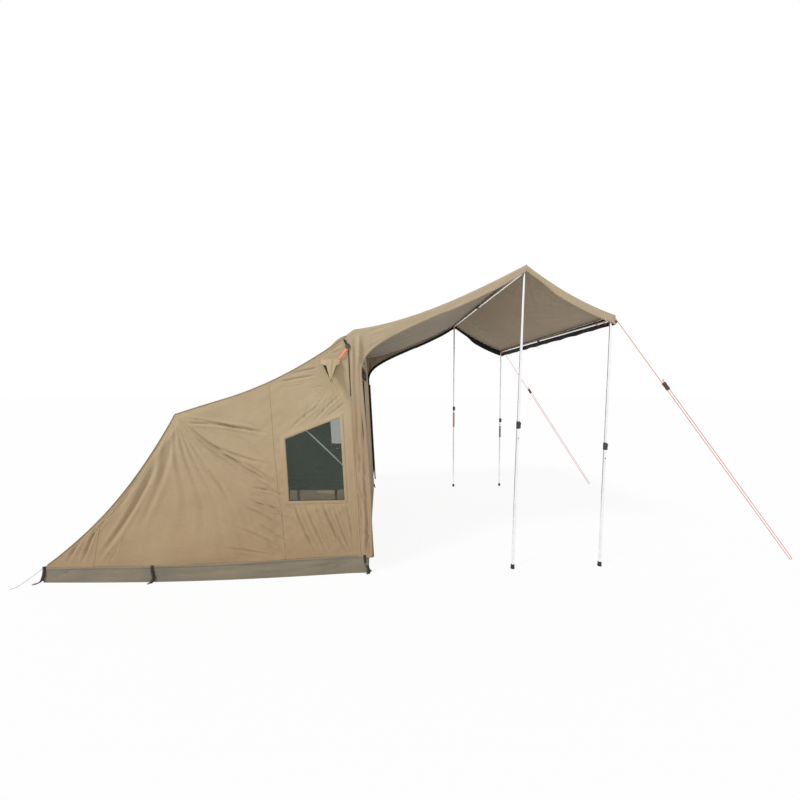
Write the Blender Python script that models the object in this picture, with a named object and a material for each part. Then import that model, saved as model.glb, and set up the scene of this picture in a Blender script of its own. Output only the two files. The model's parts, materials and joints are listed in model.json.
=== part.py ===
"""Touring tent with a fast-folding frame: sleeping cabin, vinyl tub floor and a peaked front awning.

Metres, +Z up, +X towards the awning. The origin lies on the ground under the middle of the cabin floor.
Left and right are those of a person who stands in the cabin and looks out of the door.
"""

import math

import bmesh
import bpy
from mathutils import Matrix, Vector
from mathutils.geometry import delaunay_2d_cdt

# Clearances and sheet thickness
SEAM = 0.0003
SHEET = 0.002
WING_GAP = 0.0006

# Cabin: floor, ridges and door plane
FLOOR_LENGTH = 2.50
FLOOR_WIDTH = 2.40
TUB_HEIGHT = 0.145
TUB_REAR_HEIGHT = 0.115
SIDE_BOW = 0.045
SIDE_BOW_TOP = 0.56
SIDE_BOW_START = 0.06
FRONT_HEIGHT = 1.967
REAR_HEIGHT = 1.299
REAR_SETBACK = 1.495
DOOR_LEAN = 0.054
ROOF_PITCH = 0.317
ROOF_RISE_SETBACK = 1.10
ROOF_RISE_POWER = 2.0
REAR_SAG = 0.090
REAR_SAG_LEAN = 0.15
FRONT_WALL_DROP = 0.006

# Windows, vents and door
WINDOW_SETBACK = 0.157
WINDOW_WIDTH = 0.438
WINDOW_SILL = 0.60
WINDOW_FRONT_HEIGHT = 0.67
WINDOW_REAR_HEIGHT = 0.495
WINDOW_LAP = 0.020
NET = 0.001
FLAP_ROLL_HEIGHT = 0.085
FLAP_ROLL_THICKNESS = 0.014
VENT_SETBACK = 0.2935
VENT_HEIGHT = 1.735
HOOD_WIDTH = 0.152
HOOD_SHOULDER = 0.050
HOOD_DEPTH = 0.172
HOOD_OPEN_DEG = 25.0
VENT_MARGIN = 0.014
DOOR_WIDTH = 1.30
DOOR_SILL = 0.17
DOOR_TOP = 1.78
DOOR_CORNER = 0.25
DOOR_LAP = 0.015

# Awning
RIDGE_AHEAD = 1.2495
RIDGE_SKEW = 0.051
RIDGE_HEIGHT = 2.485
RIDGE_FALL = 0.020
EDGE_AHEAD = 2.0025
EDGE_SKEW = 0.055
EDGE_HEIGHT = 2.090
EDGE_FALL = 0.020
BACK_SAG = 0.066
BACK_SAG_LEAN = 0.25
FRONT_SAG = 0.038
CROSS_SAG = 0.020
VALANCE_BACK = 0.075
VALANCE_PEAK = 0.048
VALANCE_FRONT = {"left": 0.085, "right": 0.070}
VALANCE_EDGE = 0.080
EDGE_SCALLOP = 0.006
EDGE_SCALLOPS = 9
WING_LAP = {"left": 0.020, "right": 0.040}
WING_BACK = 0.065
WING_FOOT = 0.125
WING_CURVE_TOP = 0.62
WING_CURVE_FOOT = 1.60
WING_CURVE_HANDLE = 0.85
FLARE = 0.0215
FLARE_START = 0.10
FLARE_END = 1.10

# Folding frame inside the cabin
FRAME_INSET = 0.035
UPRIGHT_RADIUS = 0.0125
UPRIGHT_SETBACK = 0.0205
TUBE_WALL = 0.0015
RIDGE_BAR_HEIGHT = 1.933
CASTING_RADIUS = 0.0165
CASTING_TOP = 0.002
CASTING_LENGTH = 0.055
BRACKET_LENGTH = 0.050
ARM_RADIUS = 0.011
ARM_PIVOT_SETBACK = 0.155
ARM_TONGUE = 0.013
CHEEK = 0.003
PIN_RADIUS = 0.004
PIN_CLEARANCE = 0.0004
MID_BAR_RADIUS = 0.0095
MID_BAR_OFFSET = 0.070
REAR_BAR_CLEARANCE = 0.0145
STRUT_RADIUS = 0.008
STRUT_INSET = 0.063
STRUT_TONGUE = 0.005
STRUT_REACH = 0.7218
COLLAR_HEIGHT = 0.7605
COLLAR_SETBACK = 0.032
COLLAR_RADIUS = 0.0175
COLLAR_LENGTH = 0.040

# Awning legs
LEG_OUTER_RADIUS = 0.0127
LEG_INNER_RADIUS = 0.0111
LEG_WALL = 0.0012
LEG_FIT = 0.0004
LEG_OVERLAP = 0.14
RIDGE_LEG_AHEAD = {"left": (1.217, 1.217), "right": (1.197, 1.268)}
EDGE_LEG_AHEAD = {"left": (1.935, 1.944), "right": (1.948, 2.009)}
RIDGE_BAR_LEVEL = 2.446
EDGE_BAR_LEVEL = 2.064
RIDGE_CLAMP_TOP = 1.230
EDGE_CLAMP_TOP = 1.047
CLAMP_LENGTH = 0.062
CLAMP_RADIUS = 0.0150
CLAMP_LIP = 0.010
LEVER_PIN_RADIUS = 0.0015
LEVER_PIN_OUT = 0.0195
LEVER_PIN_HEIGHT = 0.047
LEVER_CAM = 0.0040
LEVER_WIDTH = 0.0084
FOOT_RADIUS = 0.0165
FOOT_HEIGHT = 0.038
FOOT_SOLE = 0.006
SPIGOT_RADIUS = 0.004
SPIGOT_CHAMFER = 0.001

# Spreader bars between the legs
BAR_OUTER_RADIUS = 0.011
BAR_INNER_RADIUS = 0.0093
BAR_OVERLAP = 0.12
FORK_THICKNESS = 0.006
FORK_WIDTH = 0.022
FORK_REACH = 0.012
FORK_SLOT = 0.0046
BAR_COLLAR_RADIUS = 0.0140
BAR_COLLAR_LENGTH = 0.034

# Guy ropes
ROPE_RADIUS = 0.0025
ROPE_DROP = 0.008
ROPE_SPACING = 0.020
ROPE_PEG_AHEAD = {"left": 3.375, "right": 3.683}
RUNNER_DISTANCE = 0.730
RUNNER_LENGTH = 0.076
RUNNER_WIDTH = 0.032
RUNNER_THICKNESS = 0.010
RUNNER_FIT = 0.0004
REAR_CORD_RADIUS = 0.0015

# Fineness of the meshes
ROUND_SIDES = 24
SMALL_SIDES = 12
REAR_STEPS = 12
ROOF_STEPS = 8
BACK_STEPS = 14
FRONT_STEPS = 6
CROSS_STEPS = 8
WALL_SPACING = 0.16

SIDES = {"right": -1, "left": 1}
DOOR_X = FLOOR_LENGTH / 2
HALF_WIDTH = FLOOR_WIDTH / 2
BOW_FRONT = DOOR_X - SIDE_BOW_START * FLOOR_LENGTH
FRAME_Y = HALF_WIDTH - FRAME_INSET
LEG_Y = HALF_WIDTH

CANVAS = ((0.47, 0.37, 0.23), 0.90, 0.0)
CANVAS_PALE = ((0.53, 0.41, 0.27), 0.90, 0.0)
AWNING_INSIDE = ((0.24, 0.20, 0.15), 0.88, 0.0)
VINYL = ((0.24, 0.22, 0.17), 0.60, 0.0)
NETTING = ((0.06, 0.085, 0.07), 0.85, 0.0)
BLACK_TAPE = ((0.02, 0.02, 0.02), 0.80, 0.0)
ALUMINIUM = ((0.78, 0.78, 0.78), 0.30, 1.0)
DARK_PLASTIC = ((0.035, 0.037, 0.04), 0.50, 0.0)
RUBBER = ((0.015, 0.015, 0.015), 0.80, 0.0)
ZIP_METAL = ((0.45, 0.46, 0.48), 0.35, 1.0)
ROPE_RED = ((0.75, 0.20, 0.10), 0.75, 0.0)
CORD_GREY = ((0.09, 0.09, 0.09), 0.80, 0.0)
RUNNER_BROWN = ((0.10, 0.03, 0.02), 0.45, 0.0)


def clear_scene():
    for item in list(bpy.data.objects):
        bpy.data.objects.remove(item, do_unlink=True)


def material(name, look):
    colour, roughness, metallic = look
    made = bpy.data.materials.new(name)
    made.use_nodes = True
    shader = made.node_tree.nodes["Principled BSDF"]
    shader.inputs["Base Color"].default_value = (*colour, 1.0)
    shader.inputs["Roughness"].default_value = roughness
    shader.inputs["Metallic"].default_value = metallic
    return made


def mesh_of(vertices, faces):
    """A closed mesh with its faces pointing out."""
    mesh = bpy.data.meshes.new("shape")
    mesh.from_pydata([tuple(v) for v in vertices], [], faces)
    work = bmesh.new()
    work.from_mesh(mesh)
    bmesh.ops.recalc_face_normals(work, faces=work.faces)
    work.to_mesh(mesh)
    work.free()
    return mesh


def add_part(name, mesh, look, parent=None, origin=None):
    """One named piece with its own material. A piece with an origin is modelled in world places
    and hung from that point; a piece with a parent is modelled in the parent's own axes."""
    mesh = mesh.copy()
    mesh.name = name
    piece = bpy.data.objects.new(name, mesh)
    bpy.context.scene.collection.objects.link(piece)
    mesh.materials.clear()
    mesh.materials.append(material(name, look))
    if origin is not None:
        mesh.transform(Matrix.Translation(-Vector(origin)))
        piece.location = origin
    if parent is not None:
        piece.parent = parent
    mesh.shade_smooth()
    mesh.set_sharp_from_angle(angle=math.radians(35))
    return piece


def axis_empty(name, origin, along, beside):
    """An empty whose Z runs along a direction and whose X leans towards another."""
    z = Vector(along).normalized()
    y = z.cross(Vector(beside)).normalized()
    x = y.cross(z)
    empty = bpy.data.objects.new(name, None)
    bpy.context.scene.collection.objects.link(empty)
    frame = Matrix((x, y, z)).transposed().to_4x4()
    frame.translation = Vector(origin)
    empty.matrix_world = frame
    return empty


def boolean(mesh, tool, operation):
    """Two closed meshes joined, or the second cut from the first."""
    body = bpy.data.objects.new("body", mesh)
    cutter = bpy.data.objects.new("cutter", tool)
    for item in (body, cutter):
        bpy.context.scene.collection.objects.link(item)
    step = body.modifiers.new("step", "BOOLEAN")
    step.operation = operation
    step.solver = "EXACT"
    step.object = cutter
    view = bpy.context.evaluated_depsgraph_get()
    made = bpy.data.meshes.new_from_object(body.evaluated_get(view))
    for item in (body, cutter):
        bpy.data.objects.remove(item, do_unlink=True)
    return made


def union(mesh, *tools):
    for tool in tools:
        mesh = boolean(mesh, tool, "UNION")
    return mesh


def cut(mesh, *tools):
    for tool in tools:
        mesh = boolean(mesh, tool, "DIFFERENCE")
    return mesh


def turned(profile, sides=ROUND_SIDES):
    """A closed profile of (radius, height) points, turned round the Z axis."""
    rings = []
    vertices = []
    for radius, height in profile:
        if radius == 0:
            rings.append([len(vertices)] * sides)
            vertices.append((0, 0, height))
            continue
        rings.append(list(range(len(vertices), len(vertices) + sides)))
        for i in range(sides):
            angle = 2 * math.pi * i / sides
            vertices.append((radius * math.cos(angle), radius * math.sin(angle), height))
    faces = []
    for lower, upper in zip(rings, rings[1:] + rings[:1]):
        for i in range(sides):
            j = (i + 1) % sides
            face = []
            for index in (lower[i], lower[j], upper[j], upper[i]):
                if index not in face:
                    face.append(index)
            if len(face) > 2:
                faces.append(face)
    return mesh_of(vertices, faces)


def rod(radius, low, high, sides=ROUND_SIDES):
    return turned([(0, low), (radius, low), (radius, high), (0, high)], sides)


def pipe(outer, inner, low, high, sides=ROUND_SIDES):
    return turned([(outer, low), (outer, high), (inner, high), (inner, low)], sides)


def placed(mesh, matrix):
    mesh.transform(matrix)
    return mesh


def rod_across(radius, centre_x, centre_z, low_y, high_y, sides=SMALL_SIDES):
    """A rod parallel to Y."""
    turn = Matrix.Rotation(math.radians(-90), 4, "X")
    return placed(rod(radius, low_y, high_y, sides), Matrix.Translation((centre_x, 0, centre_z)) @ turn)


def slab(outline, low_y, high_y):
    """A flat outline of (x, z) points, extruded along Y."""
    count = len(outline)
    vertices = [(x, low_y, z) for x, z in outline]
    vertices += [(x, high_y, z) for x, z in outline]
    faces = [list(range(count)), list(range(2 * count - 1, count - 1, -1))]
    faces += [[i, i + count, (i + 1) % count + count, (i + 1) % count] for i in range(count)]
    return mesh_of(vertices, faces)


def box(low, high):
    return slab([(low[0], low[2]), (high[0], low[2]), (high[0], high[2]), (low[0], high[2])], low[1], high[1])


def stadium(start, end, radius_start, radius_end, steps=6):
    """The outline round two circles, from one (x, z) centre to the other."""
    a, b = Vector(start), Vector(end)
    heading = math.atan2((b - a).y, (b - a).x)
    outline = []
    for centre, radius, facing in ((a, radius_start, math.pi), (b, radius_end, 0.0)):
        for i in range(steps + 1):
            angle = heading + facing - math.pi / 2 + math.pi * i / steps
            outline.append((centre.x + radius * math.cos(angle), centre.y + radius * math.sin(angle)))
    return outline


def offset_line(points, distance, closed=False):
    """A polyline moved to the left of its direction, with mitred corners."""
    points = [Vector(p) for p in points]
    count = len(points)
    moved = []
    for i, point in enumerate(points):
        normals = []
        for a, b in ((i - 1, i), (i, i + 1)):
            if closed or (a >= 0 and b < count):
                step = (points[b % count] - points[a % count]).normalized()
                normals.append(Vector((-step.y, step.x)))
        if len(normals) == 1:
            moved.append(point + normals[0] * distance)
            continue
        total = normals[0] + normals[1]
        moved.append(point + total * (2 * distance / total.length_squared))
    return moved


def cut_between(a, b, level):
    """The point between a and b where a linear level is zero."""
    a, b = Vector(a), Vector(b)
    at_a, at_b = level(a), level(b)
    return a + (b - a) * (at_a / (at_a - at_b))


def inside(point, outline):
    x, y = point
    found = False
    for (ax, ay), (bx, by) in zip(outline, outline[1:] + outline[:1]):
        if (ay > y) != (by > y) and x < ax + (bx - ax) * (y - ay) / (by - ay):
            found = not found
    return found


def edge_distance(point, outline):
    nearest = float("inf")
    for a, b in zip(outline, outline[1:] + outline[:1]):
        a, b = Vector(a), Vector(b)
        along = b - a
        share = min(1.0, max(0.0, (Vector(point) - a).dot(along) / along.length_squared))
        nearest = min(nearest, (a + along * share - Vector(point)).length)
    return nearest


def fine_outline(outline, spacing):
    points = []
    for a, b in zip(outline, outline[1:] + outline[:1]):
        a, b = Vector(a), Vector(b)
        steps = max(1, math.ceil((b - a).length / spacing))
        points += [tuple(a.lerp(b, i / steps)) for i in range(steps)]
    return points


def panel(outline, holes, spacing, place, thickness, crease=None):
    """A thin closed panel cut to an outline with holes. place(u, v, depth) gives a point of its
    outer face at depth 0 and of its inner face at the panel's thickness. No facet crosses a crease."""
    loops = [fine_outline([tuple(p) for p in loop], spacing) for loop in [outline] + holes]
    flat = []
    edges = []
    for loop in loops:
        start = len(flat)
        flat += loop
        edges += [(start + i, start + (i + 1) % len(loop)) for i in range(len(loop))]
    if crease:
        a, b = Vector(crease[0]), Vector(crease[1])
        steps = math.ceil((b - a).length / spacing)
        edges += [(len(flat) + i, len(flat) + i + 1) for i in range(steps)]
        flat += [tuple(a.lerp(b, i / steps)) for i in range(steps + 1)]
    low_u, high_u = min(p[0] for p in loops[0]), max(p[0] for p in loops[0])
    low_v, high_v = min(p[1] for p in loops[0]), max(p[1] for p in loops[0])
    for i in range(1, math.ceil((high_u - low_u) / spacing)):
        for j in range(1, math.ceil((high_v - low_v) / spacing)):
            point = (low_u + i * spacing, low_v + j * spacing)
            if not inside(point, loops[0]) or any(inside(point, hole) for hole in loops[1:]):
                continue
            if min(edge_distance(point, loop) for loop in loops) > 0.4 * spacing:
                flat.append(point)
    points, _, triangles, *_ = delaunay_2d_cdt([Vector(p) for p in flat], edges, [], 0, 1e-7)
    kept = []
    for triangle in triangles:
        middle = sum((points[i] for i in triangle), Vector((0, 0))) / 3
        if inside(middle, loops[0]) and not any(inside(middle, hole) for hole in loops[1:]):
            kept.append(list(triangle))
    used = sorted({i for triangle in kept for i in triangle})
    number = {old: new for new, old in enumerate(used)}
    count = len(used)
    vertices = [place(points[i].x, points[i].y, 0.0) for i in used]
    vertices += [place(points[i].x, points[i].y, thickness) for i in used]
    faces = []
    sides = {}
    for triangle in kept:
        a, b, c = (number[i] for i in triangle)
        faces += [[a, b, c], [c + count, b + count, a + count]]
        for edge in ((a, b), (b, c), (c, a)):
            sides[edge] = True
    for a, b in sides:
        if (b, a) not in sides:
            faces.append([b, a, a + count, b + count])
    return mesh_of(vertices, faces)


def grid_shell(rows, thickness):
    """A sheet from rows of points, with its underside a thickness below."""
    high, wide = len(rows), len(rows[0])
    count = high * wide
    vertices = [p for row in rows for p in row]
    vertices += [(x, y, z - thickness) for x, y, z in vertices]
    faces = []
    for i in range(high - 1):
        for j in range(wide - 1):
            a, b = i * wide + j, (i + 1) * wide + j
            faces.append([a, a + 1, b + 1, b])
            faces.append([b + count, b + 1 + count, a + 1 + count, a + count])
    border = [(0, j, 0, j + 1) for j in range(wide - 1)]
    border += [(high - 1, j + 1, high - 1, j) for j in range(wide - 1)]
    border += [(i + 1, 0, i, 0) for i in range(high - 1)]
    border += [(i, wide - 1, i + 1, wide - 1) for i in range(high - 1)]
    for i, j, k, m in border:
        a, b = i * wide + j, k * wide + m
        faces.append([b, a, a + count, b + count])
    return mesh_of(vertices, faces)


def across(outer, inner, half_width):
    """A sheet whose section of (x, z) points runs from the right edge to the left edge."""
    count = len(outer)
    vertices = []
    for side in (-1, 1):
        for line in (outer, inner):
            vertices += [(x, side * half_width(x, z), z) for x, z in line]
    right_out, right_in, left_out, left_in = (k * count for k in range(4))
    faces = []
    for i in range(count - 1):
        for a, b in ((right_out, left_out), (left_in, right_in), (left_out, left_in), (right_in, right_out)):
            faces.append([a + i, a + i + 1, b + i + 1, b + i])
    for i in (0, count - 1):
        faces.append([right_out + i, left_out + i, left_in + i, right_in + i])
    return mesh_of(vertices, faces)


# The door plane leans back, and the side walls bow outwards near the ground, where the mid pegs pull.

def door_x(height):
    return DOOR_X - DOOR_LEAN * height


def tub_top(x):
    """Height of the tub's rim, which is lower at the rear."""
    return TUB_HEIGHT + (TUB_REAR_HEIGHT - TUB_HEIGHT) * (DOOR_X - x) / FLOOR_LENGTH


def front_foot(inset, lift):
    """The point (x, z) on the tub's rim line, a lift above it, at an inset behind the door plane."""
    rise = (TUB_HEIGHT - TUB_REAR_HEIGHT) / FLOOR_LENGTH
    z = (TUB_HEIGHT + lift - rise * inset) / (1 + rise * DOOR_LEAN)
    return Vector((door_x(z) - inset, z))


def smooth(share):
    share = min(1.0, max(0.0, share))
    return share * share * (3 - 2 * share)


def wall_y(x, z):
    """Half the width of the cabin, outside its side wall."""
    run = ((DOOR_X - x) / FLOOR_LENGTH - SIDE_BOW_START) / (1 - SIDE_BOW_START)
    bow = math.sin(math.pi * min(1.0, max(0.0, run)))
    fade = 1 - smooth((z - TUB_HEIGHT) / (SIDE_BOW_TOP - TUB_HEIGHT))
    return HALF_WIDTH + SIDE_BOW * bow * fade


def flap_y(x, z):
    """Half the width inside the awning's side, which lies on the cabin wall and then clears the legs."""
    flare = FLARE * smooth((x - DOOR_X - FLARE_START) / (FLARE_END - FLARE_START))
    return wall_y(min(x, DOOR_X), z) + WING_GAP + flare


def roof_z(setback):
    """Height of the roof's outer face at a distance behind the foot of the door."""
    straight = REAR_HEIGHT + (REAR_SETBACK - setback) * ROOF_PITCH
    if setback >= ROOF_RISE_SETBACK:
        return straight
    share = (ROOF_RISE_SETBACK - setback) / (ROOF_RISE_SETBACK - RIDGE_SETBACK)
    rise = FRONT_HEIGHT - REAR_HEIGHT - (REAR_SETBACK - RIDGE_SETBACK) * ROOF_PITCH
    return straight + rise * share ** ROOF_RISE_POWER


RIDGE_SETBACK = DOOR_LEAN * FRONT_HEIGHT
REAR_RIDGE = Vector((DOOR_X - REAR_SETBACK, REAR_HEIGHT))
REAR_FOOT = Vector((-FLOOR_LENGTH / 2, TUB_REAR_HEIGHT + SEAM))


def roof_line():
    """The roof's outer face from the front ridge to the rear ridge. It lies on the arms at the rear
    and hangs from the front ridge ahead of that."""
    line = []
    for i in range(ROOF_STEPS + 1):
        setback = RIDGE_SETBACK + (ROOF_RISE_SETBACK - RIDGE_SETBACK) * i / ROOF_STEPS
        line.append(Vector((DOOR_X - setback, roof_z(setback))))
    return line + [REAR_RIDGE.copy()]


def rear_line():
    """The rear wall's outer face, which the wind pull draws in between the ridge and the tub."""
    chord = REAR_FOOT - REAR_RIDGE
    inward = Vector((-chord.y, chord.x)).normalized()
    line = []
    for i in range(1, REAR_STEPS + 1):
        share = i / REAR_STEPS
        sag = REAR_SAG * 4 * share * (1 - share) * (1 + REAR_SAG_LEAN * (2 * share - 1))
        line.append(REAR_RIDGE + chord * share + inward * sag)
    return line


def above_tub(point):
    return point.y - tub_top(point.x) - SEAM


def make_tub():
    """Vinyl floor and its upstand, one welded tray with an open top."""
    steps = 14

    def loop(height, inset):
        right = []
        rear = -FLOOR_LENGTH / 2 + inset
        for i in range(steps + 1):
            x = rear + (BOW_FRONT - rear) * i / steps
            z = tub_top(x) if height is None else height
            right.append((x, -(wall_y(x, z) - inset), z))
        front = front_foot(inset, 0.0) if height is None else Vector((door_x(height) - inset, height))
        right.append((front.x, inset - HALF_WIDTH, front.y))
        return right + [(x, -y, z) for x, y, z in reversed(right)]

    loops = [loop(0.0, 0.0), loop(None, 0.0), loop(None, SHEET), loop(SHEET, SHEET)]
    count = len(loops[0])
    vertices = [p for one in loops for p in one]
    faces = [list(range(count)), list(range(3 * count, 4 * count))]
    for k in range(3):
        for i in range(count):
            j = (i + 1) % count
            faces.append([k * count + i, k * count + j, (k + 1) * count + j, (k + 1) * count + i])
    add_part("tub_floor", mesh_of(vertices, faces), VINYL)


def window_outline():
    """The window's cut-out as (x, z), its top edge parallel to the roof."""
    corners = []
    for back, height in ((0, 0), (0, WINDOW_FRONT_HEIGHT), (1, WINDOW_REAR_HEIGHT), (1, 0)):
        z = WINDOW_SILL + height
        corners.append((door_x(z) - WINDOW_SETBACK - back * WINDOW_WIDTH, z))
    return corners


def hood_outline(margin):
    """The vent hood's shield shape as (x, z), or the hole under it where a margin is given."""
    middle = DOOR_X - VENT_SETBACK
    half = HOOD_WIDTH / 2 - margin
    shoulder = VENT_HEIGHT - HOOD_SHOULDER
    tip = VENT_HEIGHT - HOOD_DEPTH + 1.5 * margin
    if margin:
        return [(middle - half, shoulder), (middle + half, shoulder), (middle, tip)]
    top = VENT_HEIGHT
    return [(middle - half, top), (middle + half, top), (middle + half, shoulder), (middle, tip), (middle - half, shoulder)]


def make_cabin():
    profile = roof_line() + rear_line()
    inner = offset_line(profile, SHEET)
    under = offset_line(profile, SHEET + SEAM)
    ridge = len(roof_line()) - 1

    at_ridge = lambda p: p.x - (DOOR_X - RIDGE_SETBACK)
    roof_inner = inner[: ridge + 1]
    roof_inner[0] = cut_between(inner[1], inner[0], at_ridge)
    add_part("roof_panel", across(profile[: ridge + 1], roof_inner, lambda x, z: HALF_WIDTH), CANVAS)

    rear_outer = [p.copy() for p in profile[ridge:]]
    rear_inner = [p.copy() for p in inner[ridge:]]
    for line in (rear_outer, rear_inner):
        line[0] += (line[1] - line[0]).normalized() * 2 * SEAM
    rear_inner[-1] = cut_between(rear_inner[-2], rear_inner[-1], above_tub)
    add_part("rear_wall", across(rear_outer, rear_inner, wall_y), CANVAS)

    front_edge = lambda p: p.x - (door_x(p.y) - SHEET - SEAM)
    outline = [front_foot(SHEET + SEAM, SEAM)]
    outline.append(cut_between(under[1], under[0], front_edge))
    outline += under[1:-1]
    outline.append(cut_between(under[-2], under[-1], above_tub))
    for name, side in SIDES.items():
        wall = lambda x, z, depth: (x, side * (wall_y(x, z) - depth), z)
        holes = [window_outline(), hood_outline(VENT_MARGIN)]
        crease = [(BOW_FRONT, tub_top(BOW_FRONT) + SEAM), (BOW_FRONT, SIDE_BOW_TOP + 0.02)]
        add_part("side_wall_" + name, panel(outline, holes, WALL_SPACING, wall, SHEET, crease), CANVAS)
        net = lambda x, z, depth: (x, side * (HALF_WIDTH - SHEET - SEAM - depth), z)
        netting = panel(offset_line(window_outline(), -WINDOW_LAP, True), [], 1.0, net, NET)
        add_part("window_net_" + name, netting, NETTING)
        make_flap_roll(name, side)
        make_hood(name, side)


def make_flap_roll(name, side):
    """Canvas window flap, rolled down and held along the sill inside the cabin."""
    low = WINDOW_SILL
    front = door_x(low) - WINDOW_SETBACK
    middle = low + FLAP_ROLL_HEIGHT / 2
    half = FLAP_ROLL_THICKNESS / 2
    turn = Matrix.Rotation(math.radians(90), 4, "X") @ Matrix.Rotation(math.radians(90), 4, "Y")
    reach = FLAP_ROLL_HEIGHT / 2 - half
    section = stadium((0, -reach), (0, reach), half, half)
    outer = HALF_WIDTH - SHEET - NET - 2 * SEAM - half
    roll = slab([(x, z) for x, z in section], 0, WINDOW_WIDTH)
    upright = Matrix.Rotation(math.radians(90), 4, "Z")
    place = Matrix.Translation((front, side * outer, middle)) @ upright
    add_part("window_flap_" + name, placed(roll, place), CANVAS_PALE)


def make_hood(name, side):
    """Stiffened vent hood, hinged along its top edge and propped open."""
    hinge = Vector((DOOR_X - VENT_SETBACK, side * (HALF_WIDTH + SEAM), VENT_HEIGHT))
    place = lambda x, z, depth: (x, side * (HALF_WIDTH + SEAM + SHEET - depth), z)
    mesh = panel(hood_outline(0.0), [], 1.0, place, SHEET)
    piece = add_part("vent_hood_" + name, mesh, CANVAS, origin=hinge)
    piece.rotation_euler = (side * math.radians(HOOD_OPEN_DEG), 0, 0)


def door_outline(lap):
    """The door's arched outline as (y, z)."""
    half = DOOR_WIDTH / 2 + lap
    low, high = DOOR_SILL - lap, DOOR_TOP + lap
    radius = DOOR_CORNER + lap
    outline = [(-half, low), (half, low)]
    for centre, start in ((half - radius, 0), (radius - half, 90)):
        for i in range(7):
            angle = math.radians(start + 15 * i)
            outline.append((centre + radius * math.cos(angle), high - radius + radius * math.sin(angle)))
    return outline


def make_front():
    """Front wall with its doorway, the net door on its side seam and the door's zip slider."""
    top = FRONT_HEIGHT - FRONT_WALL_DROP
    foot = TUB_HEIGHT + SEAM
    outline = [(-HALF_WIDTH, foot), (HALF_WIDTH, foot), (HALF_WIDTH, top), (-HALF_WIDTH, top)]
    wall = lambda y, z, depth: (door_x(z) - depth, y, z)
    add_part("front_wall", panel(outline, [door_outline(0.0)], 0.6, wall, SHEET), CANVAS)

    leaf = lambda y, z, depth: (door_x(z) + SEAM + SHEET - depth, y, z)
    mesh = panel(door_outline(DOOR_LAP), [], 1.0, leaf, SHEET)
    hinge = (door_x(DOOR_SILL) + SEAM, DOOR_WIDTH / 2 + DOOR_LAP, DOOR_SILL)
    add_part("door_panel", mesh, NETTING, origin=hinge)

    height = DOOR_SILL + 0.16
    foot = (door_x(height) + SEAM, -DOOR_WIDTH / 2 - DOOR_LAP - 0.008, height)
    lean = axis_empty("door_zip_axis", foot, (-DOOR_LEAN, 0, 1), (1, 0, 0))
    add_part("door_zip_slider", zip_slider(0.0035), ZIP_METAL, lean)


def zip_slider(start):
    """Slider body with its bridge and pull tab; X points away from the cloth."""
    body = box((start - 0.0035, -0.006, -0.008), (start + 0.0015, 0.006, 0.008))
    bridge = slab([(start, -0.005), (start + 0.004, -0.004), (start + 0.004, 0.004), (start, 0.005)], -0.002, 0.002)
    tab = slab(stadium((start + 0.003, -0.001), (start + 0.005, -0.030), 0.0016, 0.0022, 4), -0.0035, 0.0035)
    return union(body, bridge, tab)


# The awning runs from the front ridge up to the ridge legs and down to the front edge.

def awning_x(start, end, skew_start, skew_end, share, y_share):
    low = start - y_share * skew_start / 2
    high = end - y_share * skew_end / 2
    return low + (high - low) * share


def ridge_z(y_share):
    return RIDGE_HEIGHT - y_share * RIDGE_FALL / 2


def edge_z(y_share):
    return EDGE_HEIGHT - y_share * EDGE_FALL / 2


def back_point(share, y_share):
    """A point of the back slope: share runs up from the cabin, y_share from the right to the left."""
    x = DOOR_X + awning_x(SEAM - RIDGE_SETBACK, RIDGE_AHEAD, 0.0, RIDGE_SKEW, share, y_share)
    bow = 4 * share * (1 - share)
    sag = BACK_SAG * bow * (1 + BACK_SAG_LEAN * (1 - 2 * share)) + CROSS_SAG * bow * (1 - y_share ** 2)
    z = FRONT_HEIGHT + (ridge_z(y_share) - FRONT_HEIGHT) * share - sag
    return (x, y_share * (flap_y(x, FRONT_HEIGHT) + SHEET), z)


def front_point(share, y_share):
    """A point of the front slope: share runs down from the ridge to the front edge."""
    x = DOOR_X + awning_x(RIDGE_AHEAD, EDGE_AHEAD, RIDGE_SKEW, EDGE_SKEW, share, y_share)
    bow = 4 * share * (1 - share)
    sag = FRONT_SAG * bow + CROSS_SAG * bow * (1 - y_share ** 2)
    z = ridge_z(y_share) + (edge_z(y_share) - ridge_z(y_share)) * share - sag
    return (x, y_share * (flap_y(x, FRONT_HEIGHT) + SHEET), z)


def edge_x(y_share):
    return DOOR_X + EDGE_AHEAD - y_share * EDGE_SKEW / 2


def edge_front(y):
    """The front face of the awning's front edge at a place across it."""
    return edge_x(y / (flap_y(DOOR_X + EDGE_AHEAD, FRONT_HEIGHT) + SHEET))


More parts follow.
